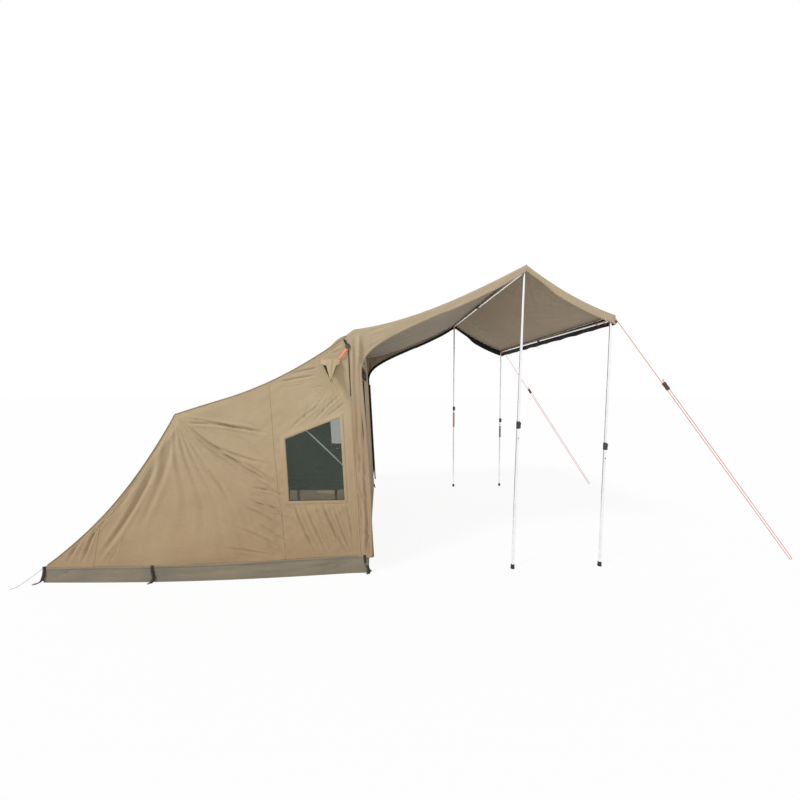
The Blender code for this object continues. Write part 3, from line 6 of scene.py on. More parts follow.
import bpy
import numpy as np
from mathutils import Vector
from mathutils.geometry import delaunay_2d_cdt
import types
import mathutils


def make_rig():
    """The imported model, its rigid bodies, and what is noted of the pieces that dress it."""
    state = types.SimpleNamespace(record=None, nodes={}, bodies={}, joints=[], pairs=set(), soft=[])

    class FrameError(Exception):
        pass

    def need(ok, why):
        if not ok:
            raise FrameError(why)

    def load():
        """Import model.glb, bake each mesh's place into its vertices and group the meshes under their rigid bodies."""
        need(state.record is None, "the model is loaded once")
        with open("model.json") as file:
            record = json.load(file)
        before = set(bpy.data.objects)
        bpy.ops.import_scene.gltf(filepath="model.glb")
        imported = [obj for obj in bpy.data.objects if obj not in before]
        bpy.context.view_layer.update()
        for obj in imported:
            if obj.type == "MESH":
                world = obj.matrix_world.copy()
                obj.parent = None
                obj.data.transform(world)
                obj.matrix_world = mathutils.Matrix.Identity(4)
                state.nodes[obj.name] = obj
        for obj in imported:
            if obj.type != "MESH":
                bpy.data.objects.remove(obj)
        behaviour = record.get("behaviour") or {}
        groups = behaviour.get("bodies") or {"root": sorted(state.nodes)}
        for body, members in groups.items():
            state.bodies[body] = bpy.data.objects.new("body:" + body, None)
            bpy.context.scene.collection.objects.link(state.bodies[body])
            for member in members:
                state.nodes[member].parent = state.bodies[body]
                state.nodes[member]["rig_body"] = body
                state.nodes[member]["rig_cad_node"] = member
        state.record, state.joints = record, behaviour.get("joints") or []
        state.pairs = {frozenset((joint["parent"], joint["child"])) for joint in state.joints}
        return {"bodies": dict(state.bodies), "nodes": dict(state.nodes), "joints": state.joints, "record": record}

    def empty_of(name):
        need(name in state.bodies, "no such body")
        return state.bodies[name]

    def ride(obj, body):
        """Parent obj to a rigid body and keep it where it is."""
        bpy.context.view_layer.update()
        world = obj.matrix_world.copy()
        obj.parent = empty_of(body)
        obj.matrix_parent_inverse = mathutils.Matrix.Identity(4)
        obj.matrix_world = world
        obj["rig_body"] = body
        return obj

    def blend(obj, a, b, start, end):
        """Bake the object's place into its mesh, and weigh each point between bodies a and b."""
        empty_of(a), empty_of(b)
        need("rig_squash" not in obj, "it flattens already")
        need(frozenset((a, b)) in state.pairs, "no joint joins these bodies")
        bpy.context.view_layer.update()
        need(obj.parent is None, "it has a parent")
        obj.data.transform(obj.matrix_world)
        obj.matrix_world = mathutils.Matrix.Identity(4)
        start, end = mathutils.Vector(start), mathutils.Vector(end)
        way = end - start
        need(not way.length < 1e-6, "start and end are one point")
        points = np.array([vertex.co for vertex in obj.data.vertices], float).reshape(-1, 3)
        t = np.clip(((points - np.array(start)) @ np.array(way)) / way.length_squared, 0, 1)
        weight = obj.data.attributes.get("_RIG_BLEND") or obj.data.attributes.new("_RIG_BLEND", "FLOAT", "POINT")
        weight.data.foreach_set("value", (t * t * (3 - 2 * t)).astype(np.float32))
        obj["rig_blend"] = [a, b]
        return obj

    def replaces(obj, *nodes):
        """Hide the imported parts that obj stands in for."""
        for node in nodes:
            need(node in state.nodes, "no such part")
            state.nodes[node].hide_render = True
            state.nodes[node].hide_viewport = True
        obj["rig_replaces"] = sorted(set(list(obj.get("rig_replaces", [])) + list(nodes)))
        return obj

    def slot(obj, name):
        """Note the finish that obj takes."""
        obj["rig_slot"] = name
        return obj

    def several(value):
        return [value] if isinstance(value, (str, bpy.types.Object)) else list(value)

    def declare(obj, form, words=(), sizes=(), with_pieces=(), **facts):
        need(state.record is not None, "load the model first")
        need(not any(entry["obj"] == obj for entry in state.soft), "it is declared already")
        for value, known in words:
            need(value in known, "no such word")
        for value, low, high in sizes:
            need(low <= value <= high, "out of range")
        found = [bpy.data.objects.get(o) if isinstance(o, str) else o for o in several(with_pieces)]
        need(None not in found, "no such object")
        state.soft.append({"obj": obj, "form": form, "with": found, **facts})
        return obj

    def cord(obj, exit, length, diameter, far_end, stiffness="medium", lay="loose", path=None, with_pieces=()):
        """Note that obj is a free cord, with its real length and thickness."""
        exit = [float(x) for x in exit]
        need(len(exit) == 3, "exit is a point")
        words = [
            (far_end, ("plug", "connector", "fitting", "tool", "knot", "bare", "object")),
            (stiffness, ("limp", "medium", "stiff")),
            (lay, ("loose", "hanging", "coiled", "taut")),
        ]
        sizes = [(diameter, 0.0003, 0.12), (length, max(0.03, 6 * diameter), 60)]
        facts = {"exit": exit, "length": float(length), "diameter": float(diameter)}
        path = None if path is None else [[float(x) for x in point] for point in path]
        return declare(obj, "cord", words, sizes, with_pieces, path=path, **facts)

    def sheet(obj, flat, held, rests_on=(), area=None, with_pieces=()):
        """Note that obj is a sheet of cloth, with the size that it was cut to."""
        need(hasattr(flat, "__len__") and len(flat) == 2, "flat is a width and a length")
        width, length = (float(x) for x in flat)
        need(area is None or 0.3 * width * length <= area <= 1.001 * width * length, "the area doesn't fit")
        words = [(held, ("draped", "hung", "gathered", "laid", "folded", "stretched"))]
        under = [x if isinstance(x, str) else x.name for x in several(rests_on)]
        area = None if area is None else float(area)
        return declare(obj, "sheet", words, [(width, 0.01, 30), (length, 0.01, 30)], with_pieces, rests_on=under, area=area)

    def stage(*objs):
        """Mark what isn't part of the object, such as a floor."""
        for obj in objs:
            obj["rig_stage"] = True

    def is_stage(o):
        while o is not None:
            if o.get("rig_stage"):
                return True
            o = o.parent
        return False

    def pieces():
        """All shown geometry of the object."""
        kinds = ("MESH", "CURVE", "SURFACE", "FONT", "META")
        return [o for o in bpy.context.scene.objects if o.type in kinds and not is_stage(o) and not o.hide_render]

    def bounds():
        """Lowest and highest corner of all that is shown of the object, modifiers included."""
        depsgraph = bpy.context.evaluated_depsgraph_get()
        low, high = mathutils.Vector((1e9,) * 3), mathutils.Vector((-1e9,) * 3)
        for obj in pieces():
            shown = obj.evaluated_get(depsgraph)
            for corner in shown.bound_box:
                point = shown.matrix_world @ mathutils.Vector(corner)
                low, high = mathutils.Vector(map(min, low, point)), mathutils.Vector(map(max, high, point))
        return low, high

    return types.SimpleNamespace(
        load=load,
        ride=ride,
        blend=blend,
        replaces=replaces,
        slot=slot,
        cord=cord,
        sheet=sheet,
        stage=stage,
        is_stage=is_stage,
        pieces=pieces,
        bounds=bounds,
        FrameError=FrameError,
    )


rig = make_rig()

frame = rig.load()
cad_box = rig.bounds()
cad = frame["nodes"]


# Studio. A plain white floor under a pale even sky, with one soft sun from the upper left of the
# camera to bring out the folds. The camera stands where the tent was photographed from.

scene = bpy.context.scene
scene.view_settings.view_transform = "Standard"

lens = bpy.data.cameras.new("camera")
lens.lens = 15.3
lens.sensor_width = 36.0
camera = bpy.data.objects.new("camera", lens)
camera.location = (1.351, -3.933, 1.492)
camera.rotation_euler = (math.radians(88.20), 0.0, math.radians(-3.27))
scene.collection.objects.link(camera)
scene.camera = camera

SKY = 0.56
SUN = 2.1
FLOOR_LIFT = 0.92
WHITE = (1.0, 1.0, 1.0, 1.0)

sun = bpy.data.lights.new("sun", "SUN")
sun.energy = SUN
sun.angle = math.radians(12)
sun_lamp = bpy.data.objects.new("sun", sun)
sun_lamp.rotation_euler = Vector((-0.62, -0.43, 0.80)).to_track_quat("Z", "Y").to_euler()
scene.collection.objects.link(sun_lamp)


def node(tree, kind, settings=(), at=(), **values):
    """A node with its settings, and a plain value or a link on each input given by place or by name."""
    made = tree.nodes.new(kind)
    for label, value in settings:
        setattr(made, label, value)
    for place, value in (*dict(at).items(), *values.items()):
        socket = made.inputs[place.replace("_", " ") if isinstance(place, str) else place]
        if isinstance(value, bpy.types.NodeSocket):
            tree.links.new(value, socket)
        else:
            socket.default_value = value
    return made


def sums(tree, operation, a, b=0.0):
    """A math node on two values or sockets."""
    return node(tree, "ShaderNodeMath", [("operation", operation)], at={0: a, 1: b}).outputs[0]


def seen_directly(tree):
    """One for rays that come from the camera, straight or by a mirror or glass."""
    rays = tree.nodes.new("ShaderNodeLightPath").outputs
    first = sums(tree, "MAXIMUM", rays["Is Camera Ray"], rays["Is Glossy Ray"])
    return sums(tree, "MAXIMUM", first, rays["Is Transmission Ray"])


sky = bpy.data.worlds.new("sky")
scene.world = sky
white_floor = bpy.data.materials.new("white floor")
for holder in (sky, white_floor):
    holder.use_nodes = True
    holder.node_tree.nodes.clear()
tree = sky.node_tree
glow = node(tree, "ShaderNodeBackground", Color=WHITE, Strength=SKY)
shown = node(tree, "ShaderNodeBackground", Color=WHITE, Strength=1.0)
mix = node(tree, "ShaderNodeMixShader", at={0: seen_directly(tree), 1: glow.outputs[0], 2: shown.outputs[0]})
node(tree, "ShaderNodeOutputWorld", Surface=mix.outputs[0])
tree = white_floor.node_tree
matt = node(tree, "ShaderNodeBsdfDiffuse", Color=(0.84, 0.84, 0.84, 1.0))
lift = node(tree, "ShaderNodeEmission", Color=WHITE)
share = sums(tree, "MULTIPLY", seen_directly(tree), FLOOR_LIFT)
mix = node(tree, "ShaderNodeMixShader", at={0: share, 1: matt.outputs[0], 2: lift.outputs[0]})
node(tree, "ShaderNodeOutputMaterial", Surface=mix.outputs[0])

ground = bpy.data.meshes.new("ground")
far = 60
corners = [(-far, -far, -0.001), (far, -far, -0.001), (far, far, -0.001), (-far, far, -0.001)]
ground.from_pydata(corners, [], [(0, 1, 2, 3)])
ground.materials.append(white_floor)
floor = bpy.data.objects.new("ground", ground)
scene.collection.objects.link(floor)
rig.stage(floor)


# Guy ropes. Salmon braided polyester, 5 mm, from the awning's front corners down to a peg, round it
# and back up to a slide runner, with a stopper knot at the free end. The other ends of the ropes
# loop through the corner eyelets. A thin grey cord pulls the rear corner of the floor.

DOOR_X = 1.25
HALF_WIDTH = 1.20
AWNING_HALF = 1.2241
EDGE_AHEAD = 2.0025
EDGE_SKEW = 0.055
EDGE_HEIGHT = 2.090
EDGE_FALL = 0.020
ROPE_RADIUS = 0.0025
ROPE_SPACING = 0.020
RUNNER_DISTANCE = 0.730
PEG_AHEAD = {"left": 3.375, "right": 3.683}
SIDES = {"right": -1, "left": 1}


def principled(name, colour, roughness, metallic=0.0):
    """A material with its own shader, whose plain values sit on the shader's sockets."""
    made = bpy.data.materials.new(name)
    made.use_nodes = True
    shader = made.node_tree.nodes["Principled BSDF"]
    shader.inputs["Base Color"].default_value = (*colour, 1.0)
    shader.inputs["Roughness"].default_value = roughness
    shader.inputs["Metallic"].default_value = metallic
    return made


def new_group(name, inputs, outputs):
    """An empty shader node group with named float or colour sockets."""
    made = bpy.data.node_groups.new(name, "ShaderNodeTree")
    for label, value in inputs:
        kind = "NodeSocketColor" if isinstance(value, tuple) else "NodeSocketFloat"
        socket = made.interface.new_socket(label, in_out="INPUT", socket_type=kind)
        socket.default_value = (*value, 1.0) if isinstance(value, tuple) else value
    for label, kind in outputs:
        made.interface.new_socket(label, in_out="OUTPUT", socket_type=kind)
    return made, made.nodes.new("NodeGroupInput"), made.nodes.new("NodeGroupOutput")


def mixed(tree, share, a, b):
    """A colour mixed from two colours or sockets by a share."""
    return node(tree, "ShaderNodeMix", [("data_type", "RGBA")], at={0: share, 6: a, 7: b}).outputs[2]


def relief(tree, strength, distance, height):
    """Bump on a material's own shader."""
    bump = node(tree, "ShaderNodeBump", Strength=strength, Distance=distance, Height=height)
    tree.links.new(bump.outputs[0], tree.nodes["Principled BSDF"].inputs["Normal"])


braid, given, result = new_group("Braid", [("Plaits per metre", 260.0)],
                                 [("Height", "NodeSocketFloat"), ("Strand", "NodeSocketFloat")])
spot = node(braid, "ShaderNodeUVMap", [("uv_map", "cut")])
split = node(braid, "ShaderNodeSeparateXYZ", at={0: spot.outputs[0]})
run = sums(braid, "MULTIPLY", split.outputs[0], given.outputs["Plaits per metre"])
turn = sums(braid, "MULTIPLY", split.outputs[1], 4.0)
waves = []
for operation in ("ADD", "SUBTRACT"):
    lean = sums(braid, "MULTIPLY", sums(braid, operation, run, turn), math.pi)
    waves.append(sums(braid, "ABSOLUTE", sums(braid, "SINE", lean)))
braid.links.new(sums(braid, "MAXIMUM", *waves), result.inputs["Height"])
braid.links.new(waves[0], result.inputs["Strand"])


def braided(name, colour, fleck, plaits):
    """Braided cord in one colour, with a slightly different one in every other strand."""
    made = principled(name, colour, 0.72)
    tree = made.node_tree
    weave = node(tree, "ShaderNodeGroup", [("node_tree", braid)], Plaits_per_metre=plaits)
    tint = mixed(tree, weave.outputs["Strand"], (*colour, 1.0), (*fleck, 1.0))
    tree.links.new(tint, tree.nodes["Principled BSDF"].inputs["Base Color"])
    relief(tree, 0.7, 0.0006, weave.outputs["Height"])
    return made


def piece(name, points, faces, skins, cut=None, corners=None, skin_of=None):
    """A mesh object in the tent's frame. The map "cut" holds places along the piece in metres, given
    for each point, or for each corner of each face."""
    mesh = bpy.data.meshes.new(name)
    mesh.from_pydata(np.asarray(points, float).tolist(), [], [[int(i) for i in face] for face in faces])
    for skin in skins:
        mesh.materials.append(skin)
    if skin_of is not None:
        mesh.polygons.foreach_set("material_index", np.asarray(skin_of, np.int32))
    if cut is not None or corners is not None:
        flat = mesh.uv_layers.new(name="cut")
        if corners is None:
            index = np.zeros(len(mesh.loops), np.int32)
            mesh.loops.foreach_get("vertex_index", index)
            corners = np.asarray(cut, float)[index]
        flat.data.foreach_set("uv", np.asarray(corners, np.float32).ravel())
    mesh.shade_smooth()
    made = bpy.data.objects.new(name, mesh)
    scene.collection.objects.link(made)
    return made


def run_of(path):
    """How far along a path each of its points lies."""
    return np.concatenate([[0], np.cumsum(np.linalg.norm(np.diff(path, axis=0), axis=1))])


def tube(path, radius, sides, closed=False):
    """Points, faces and corner places of a round tube along a path; its radius may change on the way."""
    path = np.asarray(path, float)
    count = len(path)
    radii = np.full(count, radius, float) if np.isscalar(radius) else np.asarray(radius, float)
    ways = np.roll(path, -1, 0) - np.roll(path, 1, 0) if closed else np.gradient(path, axis=0)
    ways /= np.linalg.norm(ways, axis=1)[:, None]
    side = np.cross(ways[0], (0.0, 0.0, 1.0) if abs(ways[0][2]) < 0.9 else (1.0, 0.0, 0.0))
    run = run_of(path)
    points, faces, corners = [], [], []
    for i in range(count):
        side = side - ways[i] * side.dot(ways[i])
        side /= np.linalg.norm(side)
        other = np.cross(ways[i], side)
        for k in range(sides):
            angle = 2 * math.pi * k / sides
            points.append(path[i] + radii[i] * (side * math.cos(angle) + other * math.sin(angle)))
    for i in range(count if closed else count - 1):
        j = (i + 1) % count
        end = run[j] if j else run[-1] + np.linalg.norm(path[0] - path[-1])
        for k in range(sides):
            m = (k + 1) % sides
            faces.append((i * sides + k, i * sides + m, j * sides + m, j * sides + k))
            corners += [(run[i], k / sides), (run[i], (k + 1) / sides), (end, (k + 1) / sides), (end, k / sides)]
    if not closed:
        for ring, order in ((0, -1), (count - 1, 1)):
            faces.append([ring * sides + k for k in range(sides)][::order])
            corners += [(run[ring], 0.5)] * sides
    return points, faces, corners


def smooth_route(points, steps):
    """Points read from a smooth curve that passes through the route's own points."""
    points = [Vector(p) for p in points]
    ends = [2 * points[0] - points[1]] + points + [2 * points[-1] - points[-2]]
    read = []
    for i in range(1, len(ends) - 2):
        p0, p1, p2, p3 = ends[i - 1: i + 3]
        near = min(1.0, (p2 - p1).length / max((p1 - p0).length, 1e-9))
        far = min(1.0, (p2 - p1).length / max((p3 - p2).length, 1e-9))
        start, end = (p2 - p0) / 2 * near, (p3 - p1) / 2 * far
        for k in range(steps):
            t = k / steps
            read.append(p1 * (2 * t ** 3 - 3 * t * t + 1) + start * (t ** 3 - 2 * t * t + t)
                        + p2 * (3 * t * t - 2 * t ** 3) + end * (t ** 3 - t * t))
    return read + [points[-1]]


def smooth(share):
    """From zero to one with no kink at either end."""
    share = np.clip(share, 0.0, 1.0)
    return share * share * (3 - 2 * share)


def edge_front(y):
    """The front face of the awning's front edge, which stands a little further ahead on the right."""
    return DOOR_X + EDGE_AHEAD - y / AWNING_HALF * EDGE_SKEW / 2


def edge_z(y):
    """The height of that edge, which is a little lower on the left."""
    return EDGE_HEIGHT - y / AWNING_HALF * EDGE_FALL / 2


def guy_line(name, side):
    """Where a rope leaves the awning, where its peg stands, and the direction across it."""
    y = side * HALF_WIDTH
    start = Vector((edge_front(y) + 0.012, y, edge_z(side * AWNING_HALF) - 0.014))
    peg = Vector((DOOR_X + PEG_AHEAD[name], y, ROPE_SPACING / 2 + ROPE_RADIUS + 0.0008))
    down = (peg - start).normalized()
    return start, peg, Vector((-down.z, 0, down.x))


def guy_route(name, side):
    """Out of the corner, down to the peg, round it and back up through the runner."""
    start, peg, beside = guy_line(name, side)
    foot = peg - beside * ROPE_SPACING / 2
    way = (foot - start).normalized()
    length = (foot - start).length
    leaving = Vector((edge_front(start.y) + 0.0006, start.y, edge_z(side * AWNING_HALF) - 0.008))
    level, steep = math.radians(-8), math.atan2(way.z, way.x)
    gap = start - leaving
    corner = start - way * (gap.x * math.sin(level) - gap.z * math.cos(level)) / math.sin(level - steep)
    half = math.tan((level - steep) / 2)
    bend = (corner - leaving).length * 0.98 / half
    route = [leaving]
    for share in np.linspace(0, 1, 9):
        heading = level + (steep - level) * share
        reach = Vector((math.sin(level) - math.sin(heading), 0, math.cos(heading) - math.cos(level))) * bend
        route.append(corner - Vector((math.cos(level), 0, math.sin(level))) * bend * half + reach)
    shares = (0.008, 0.02, 0.10, 0.25, 0.45, 0.65, 0.85, 0.97, 0.995, 0.9985)
    route += [start + way * length * share for share in shares]
    for degrees in range(-90, 91, 15):
        turn = math.radians(degrees)
        route.append(peg + (beside * math.sin(turn) + way * math.cos(turn)) * ROPE_SPACING / 2)
    back = peg + beside * ROPE_SPACING / 2
    rest = length - RUNNER_DISTANCE + 0.038 + 0.020
    route += [back - way * rest * share for share in (0.002, 0.006, 0.03, 0.15, 0.35, 0.6, 0.85, 0.97, 1.0)]
    return smooth_route(route, 3)


rope_red = braided("salmon braided rope", (0.78, 0.13, 0.07), (0.86, 0.26, 0.17), 240.0)
cord_grey = braided("grey braided cord", (0.13, 0.13, 0.13), (0.26, 0.26, 0.26), 420.0)

for name, side in SIDES.items():
    path = guy_route(name, side)
    points, faces, corners = tube(path, ROPE_RADIUS, 12)
    rope = piece("guy_rope_%s_braid" % name, points, faces, [rope_red], corners=corners)
    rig.ride(rope, "tent_shell")
    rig.replaces(rope, "guy_rope_" + name)
    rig.slot(rope, "guy_rope")
    end, before = path[-1], path[-3]
    along = (end - before).normalized()
    across = Vector((0, 1, 0))
    out_of = along.cross(across)
    loop = []
    for i in range(40):
        t = 2 * math.pi * i / 40
        ring = 0.0030 * (2 + math.cos(3 * t)) / 2
        turned = across * ring * math.cos(2 * t) + out_of * ring * math.sin(2 * t)
        loop.append(end + along * (0.002 + 0.0022 * math.sin(3 * t)) + turned)
    points, faces, corners = tube(loop, 0.0021, 8, closed=True)
    knot = piece("guy_rope_%s_knot" % name, points, faces, [rope_red], corners=corners)
    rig.ride(knot, "tent_shell")
    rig.slot(knot, "guy_rope")
    length = sum((b - a).length for a, b in zip(path, path[1:]))
    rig.cord(rope, exit=path[0], length=length, diameter=2 * ROPE_RADIUS, far_end="knot", stiffness="limp",
            lay="taut", path=path, with_pieces=[knot, "rope_runner_" + name])

route = [(-1.2503, -1.192, 0.105), (-1.256, -1.192, 0.105), (-1.266, -1.197, 0.099), (-1.300, -1.217, 0.070),
         (-1.345, -1.246, 0.032), (-1.372, -1.262, 0.011), (-1.390, -1.273, 0.0030), (-1.410, -1.285, 0.0020)]
path = smooth_route(route, 4)
points, faces, corners = tube(path, 0.0015, 10)
cord = piece("rear_guy_cord_braid", points, faces, [cord_grey], corners=corners)
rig.ride(cord, "tent_shell")
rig.replaces(cord, "rear_guy_cord")
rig.slot(cord, "cord_grey")
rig.cord(cord, exit=path[0], length=sum((b - a).length for a, b in zip(path, path[1:])), diameter=0.003,
        far_end="bare", stiffness="limp", lay="taut", path=path)


# Cloth of the cabin. Sand poly-cotton canvas, cut flat, sewn with flat-felled seams and stretched by
# the frame. Each panel is a fine net of points cut to its outline, given the tent's shape with its
# folds, and closed with its own thickness. The rear ends of the cabin cloth go down with the frame.

FLOOR_LENGTH = 2.50
DOOR_LEAN = 0.054
FRONT_HEIGHT = 1.967
REAR_HEIGHT = 1.299
REAR_SETBACK = 1.495
RIDGE_SETBACK = DOOR_LEAN * FRONT_HEIGHT
TUB_HEIGHT = 0.145
TUB_REAR_HEIGHT = 0.115
ROOF_PITCH = 0.317
ROOF_RISE_SETBACK = 1.10
REAR_SAG = 0.090
REAR_SAG_LEAN = 0.15
SIDE_BOW = 0.045
SIDE_BOW_START = 0.06
SIDE_BOW_TOP = 0.56
CLOTH = 0.0012


def door_x(height):
    """The door's plane, which leans back."""
    return DOOR_X - DOOR_LEAN * height


def tub_top(x):
    """The height of the tub's side walls, which are lower at the rear."""
    return TUB_HEIGHT + (TUB_REAR_HEIGHT - TUB_HEIGHT) * (DOOR_X - x) / FLOOR_LENGTH


def wall_y(x, z):
    """Half the cabin's width. The side walls bow out near the ground."""
    share = ((DOOR_X - x) / FLOOR_LENGTH - SIDE_BOW_START) / (1 - SIDE_BOW_START)
    bow = np.sin(math.pi * np.clip(share, 0.0, 1.0))
    return HALF_WIDTH + SIDE_BOW * bow * (1 - smooth((z - TUB_HEIGHT) / (SIDE_BOW_TOP - TUB_HEIGHT)))


def roof_z(setback):
    """The roof's height at a distance behind the door's foot: straight, with a rise to the front ridge."""
    straight = REAR_HEIGHT + (REAR_SETBACK - setback) * ROOF_PITCH
    share = np.clip((ROOF_RISE_SETBACK - setback) / (ROOF_RISE_SETBACK - RIDGE_SETBACK), 0.0, 1.0)
    rise = FRONT_HEIGHT - REAR_HEIGHT - (REAR_SETBACK - RIDGE_SETBACK) * ROOF_PITCH
    return straight + rise * share ** 2


REAR_RIDGE = np.array((DOOR_X - REAR_SETBACK, REAR_HEIGHT))
REAR_FOOT = np.array((-FLOOR_LENGTH / 2, TUB_REAR_HEIGHT))


def roof_profile():
    """The roof's outer face as (x, z), from the front ridge to the rear ridge."""
    setback = np.concatenate([np.linspace(RIDGE_SETBACK, ROOF_RISE_SETBACK, 40), [REAR_SETBACK]])
    return np.column_stack([DOOR_X - setback, roof_z(setback)])


def rear_profile():
    """The rear wall's outer face, drawn in between the rear ridge and the tub."""
    share = np.linspace(0, 1, 40)
    chord = REAR_FOOT - REAR_RIDGE
    inward = np.array((-chord[1], chord[0])) / np.linalg.norm(chord)
    sag = REAR_SAG * 4 * share * (1 - share) * (1 + REAR_SAG_LEAN * (2 * share - 1))
    return REAR_RIDGE + share[:, None] * chord + sag[:, None] * inward


def cut_out(outline, holes=(), spacing=0.018):
    """A flat net of points and triangles cut to an outline with holes."""
    loops = []
    for loop in (outline, *holes):
        fine = []
        for a, b in zip(loop, list(loop[1:]) + [loop[0]]):
            a, b = np.asarray(a, float), np.asarray(b, float)
            steps = max(1, math.ceil(np.linalg.norm(b - a) / spacing))
            fine += [a + (b - a) * i / steps for i in range(steps)]
        loops.append(np.array(fine))
    low, high = loops[0].min(0), loops[0].max(0)
    rows = np.arange(low[1], high[1], spacing * 0.866)
    columns = np.arange(low[0], high[0], spacing)
    grid = np.array([(x + (spacing / 2 if j % 2 else 0), z) for j, z in enumerate(rows) for x in columns])

    def level(points, reach):
        """Whether each point is inside the outline and out of the holes, and further than reach from both."""
        held = np.ones(len(points), bool)
        for number, loop in enumerate(loops):
            within = np.zeros(len(points), bool)
            for a, b in zip(loop, np.roll(loop, -1, 0)):
                crossing = (a[1] > points[:, 1]) != (b[1] > points[:, 1])
                if crossing.any():
                    line = a[0] + (b[0] - a[0]) * (points[:, 1] - a[1]) / (b[1] - a[1] + 1e-12)
                    within ^= crossing & (points[:, 0] < line)
                if reach:
                    way = b - a
                    share = np.clip((points - a) @ way / (way @ way), 0, 1)
                    held &= np.linalg.norm(points - a - share[:, None] * way, axis=1) > reach
            held &= within if number == 0 else ~within
        return held

    flat = np.concatenate(loops + [grid[level(grid, 0.45 * spacing)]])
    edges, start = [], 0
    for loop in loops:
        edges += [(start + i, start + (i + 1) % len(loop)) for i in range(len(loop))]
        start += len(loop)
    points, _, triangles, *_ = delaunay_2d_cdt([Vector(p) for p in flat], edges, [], 0, 1e-7)
    points, triangles = np.array(points), np.array(triangles)
    kept = triangles[level(points[triangles].mean(1), 0.0)]
    used, number = np.unique(kept, return_inverse=True)
    return points[used], number.reshape(kept.shape)


def lay(shape, u, v, lift=0.0, facing=1.0):
    """Places on a shape, with a lift off its outer side, and the outward directions there."""
    u, v = np.asarray(u, float), np.asarray(v, float)
    here = shape(u, v)
    normal = np.cross(shape(u + 0.002, v) - here, shape(u, v + 0.002) - here) * facing
    normal /= np.linalg.norm(normal, axis=1)[:, None]
    return here + normal * np.reshape(lift, (-1, 1)), normal


def cloth(name, net, shape, facing, skins, thickness=CLOTH):
    """A sheet of cloth with an outer and an inner skin; facing is 1 where its outer side is left of
    the net's two directions, or -1."""
    flat, triangles = net
    outer, normal = lay(shape, flat[:, 0], flat[:, 1], 0.0, facing)
    if facing < 0:
        triangles = triangles[:, ::-1]
    count = len(flat)
    pairs = np.concatenate([triangles[:, [0, 1]], triangles[:, [1, 2]], triangles[:, [2, 0]]])
    known = {(a, b) for a, b in pairs.tolist()}
    rim = [(a, b) for a, b in pairs.tolist() if (b, a) not in known]
    faces = triangles.tolist() + (triangles[:, ::-1] + count).tolist()
    faces += [[b, a, a + count, b + count] for a, b in rim]
    skin_of = [0] * len(triangles) + [len(skins) - 1] * len(triangles) + [0] * len(rim)
    made = piece(name, np.concatenate([outer, outer - normal * thickness]), faces, skins,
                 cut=np.concatenate([flat, flat]), skin_of=skin_of)
    return made


def net_area(net):
    """The area of a flat net's triangles."""
    flat, triangles = net
    a, b, c = (flat[triangles[:, i]] for i in range(3))
    return float(np.abs((b - a)[:, 0] * (c - a)[:, 1] - (b - a)[:, 1] * (c - a)[:, 0]).sum() / 2)


def sheet(made, net, held, rests_on, strip=0.0):
    """Declares a sheet with the flat size and the area that its net was cut to. A bent or ringed
    strip is declared by its width and the length that this makes of its area."""
    size, area = net[0].max(0) - net[0].min(0), net_area(net)
    flat = (strip, area / strip) if strip else tuple(float(x) for x in size)
    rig.sheet(made, flat=flat, held=held, rests_on=rests_on, area=area)


def swing(made):
    """Cloth over the folding frame: its rear top corner goes down with the roof arms, and its foot stays."""
    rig.blend(made, "tent_shell", "roof_frame", start=(-1.25, 0, 0.115), end=(-1.4468, 0, 0.3693))


def fold(u, v, start, end, width, depth, bend=0.0):
    """The relief of one crease between two points, with a swelling on each side."""
    way = np.subtract(end, start)
    length = float(np.hypot(*way))
    share = ((u - start[0]) * way[0] + (v - start[1]) * way[1]) / length ** 2
    off = ((v - start[1]) * way[0] - (u - start[0]) * way[1]) / length - bend * 4 * share * (1 - share)
    taper = smooth((share + 0.08) / 0.3) * smooth((1.08 - share) / 0.4)
    q = off / width
    return depth * taper * (np.exp(-q * q) - 0.55 * np.exp(-(q - 1.5) ** 2) - 0.55 * np.exp(-(q + 1.5) ** 2))


def fan(u, v, centre, low, high, pleats, depth, rise=0.25, reach=0.9):
    """Folds that radiate from a pulled corner, between two angles in degrees."""
    far = np.hypot(u - centre[0], v - centre[1])
    angle = np.degrees(np.arctan2(v - centre[1], u - centre[0]))
    share = (angle - low) / (high - low)
    held = smooth(share * 5) * smooth((1 - share) * 5) * (share > 0) * (share < 1)
    swell = np.clip(far / rise, 0, 1) * np.exp(-np.maximum(far - rise, 0) / reach)
    phase = 2 * math.pi * pleats * (share + 0.035 * np.sin(share * 11.0) + 0.02 * np.sin(far * 7))
    return depth * held * swell * (np.cos(phase) + 0.35 * np.cos(1.9 * phase + 1.2))


def drift(u, v, scale, seed):
    """A calm uneven surface from -1 to 1, with swellings of about one scale."""
    rng = np.random.default_rng(seed)
    total = 0.0
    for _ in range(7):
        angle, size, phase = rng.uniform(0, 2 * math.pi), scale * rng.uniform(0.7, 1.7), rng.uniform(0, 6.28)
        total = total + np.sin(2 * math.pi / size * (u * math.cos(angle) + v * math.sin(angle)) + phase)
    return total / 4.0


def near_edge(u, v, outline, reach):
    """Zero on an outline and one at a reach inside it, for cloth that is held all round."""
    nearest = np.full(np.shape(u), 1e9)
    for a, b in zip(outline, list(outline[1:]) + [outline[0]]):
        a, b = np.asarray(a, float), np.asarray(b, float)
        way = b - a
        share = np.clip(((u - a[0]) * way[0] + (v - a[1]) * way[1]) / (way @ way), 0, 1)
        nearest = np.minimum(nearest, np.hypot(u - a[0] - share * way[0], v - a[1] - share * way[1]))
    return smooth(nearest / reach)


# Tub. Coated vinyl, grey beige, welded into a tray whose walls stand a hand high. The rim is folded
# over and sewn to the canvas, and black webbing straps at the corners and sides hold it to the pegs.

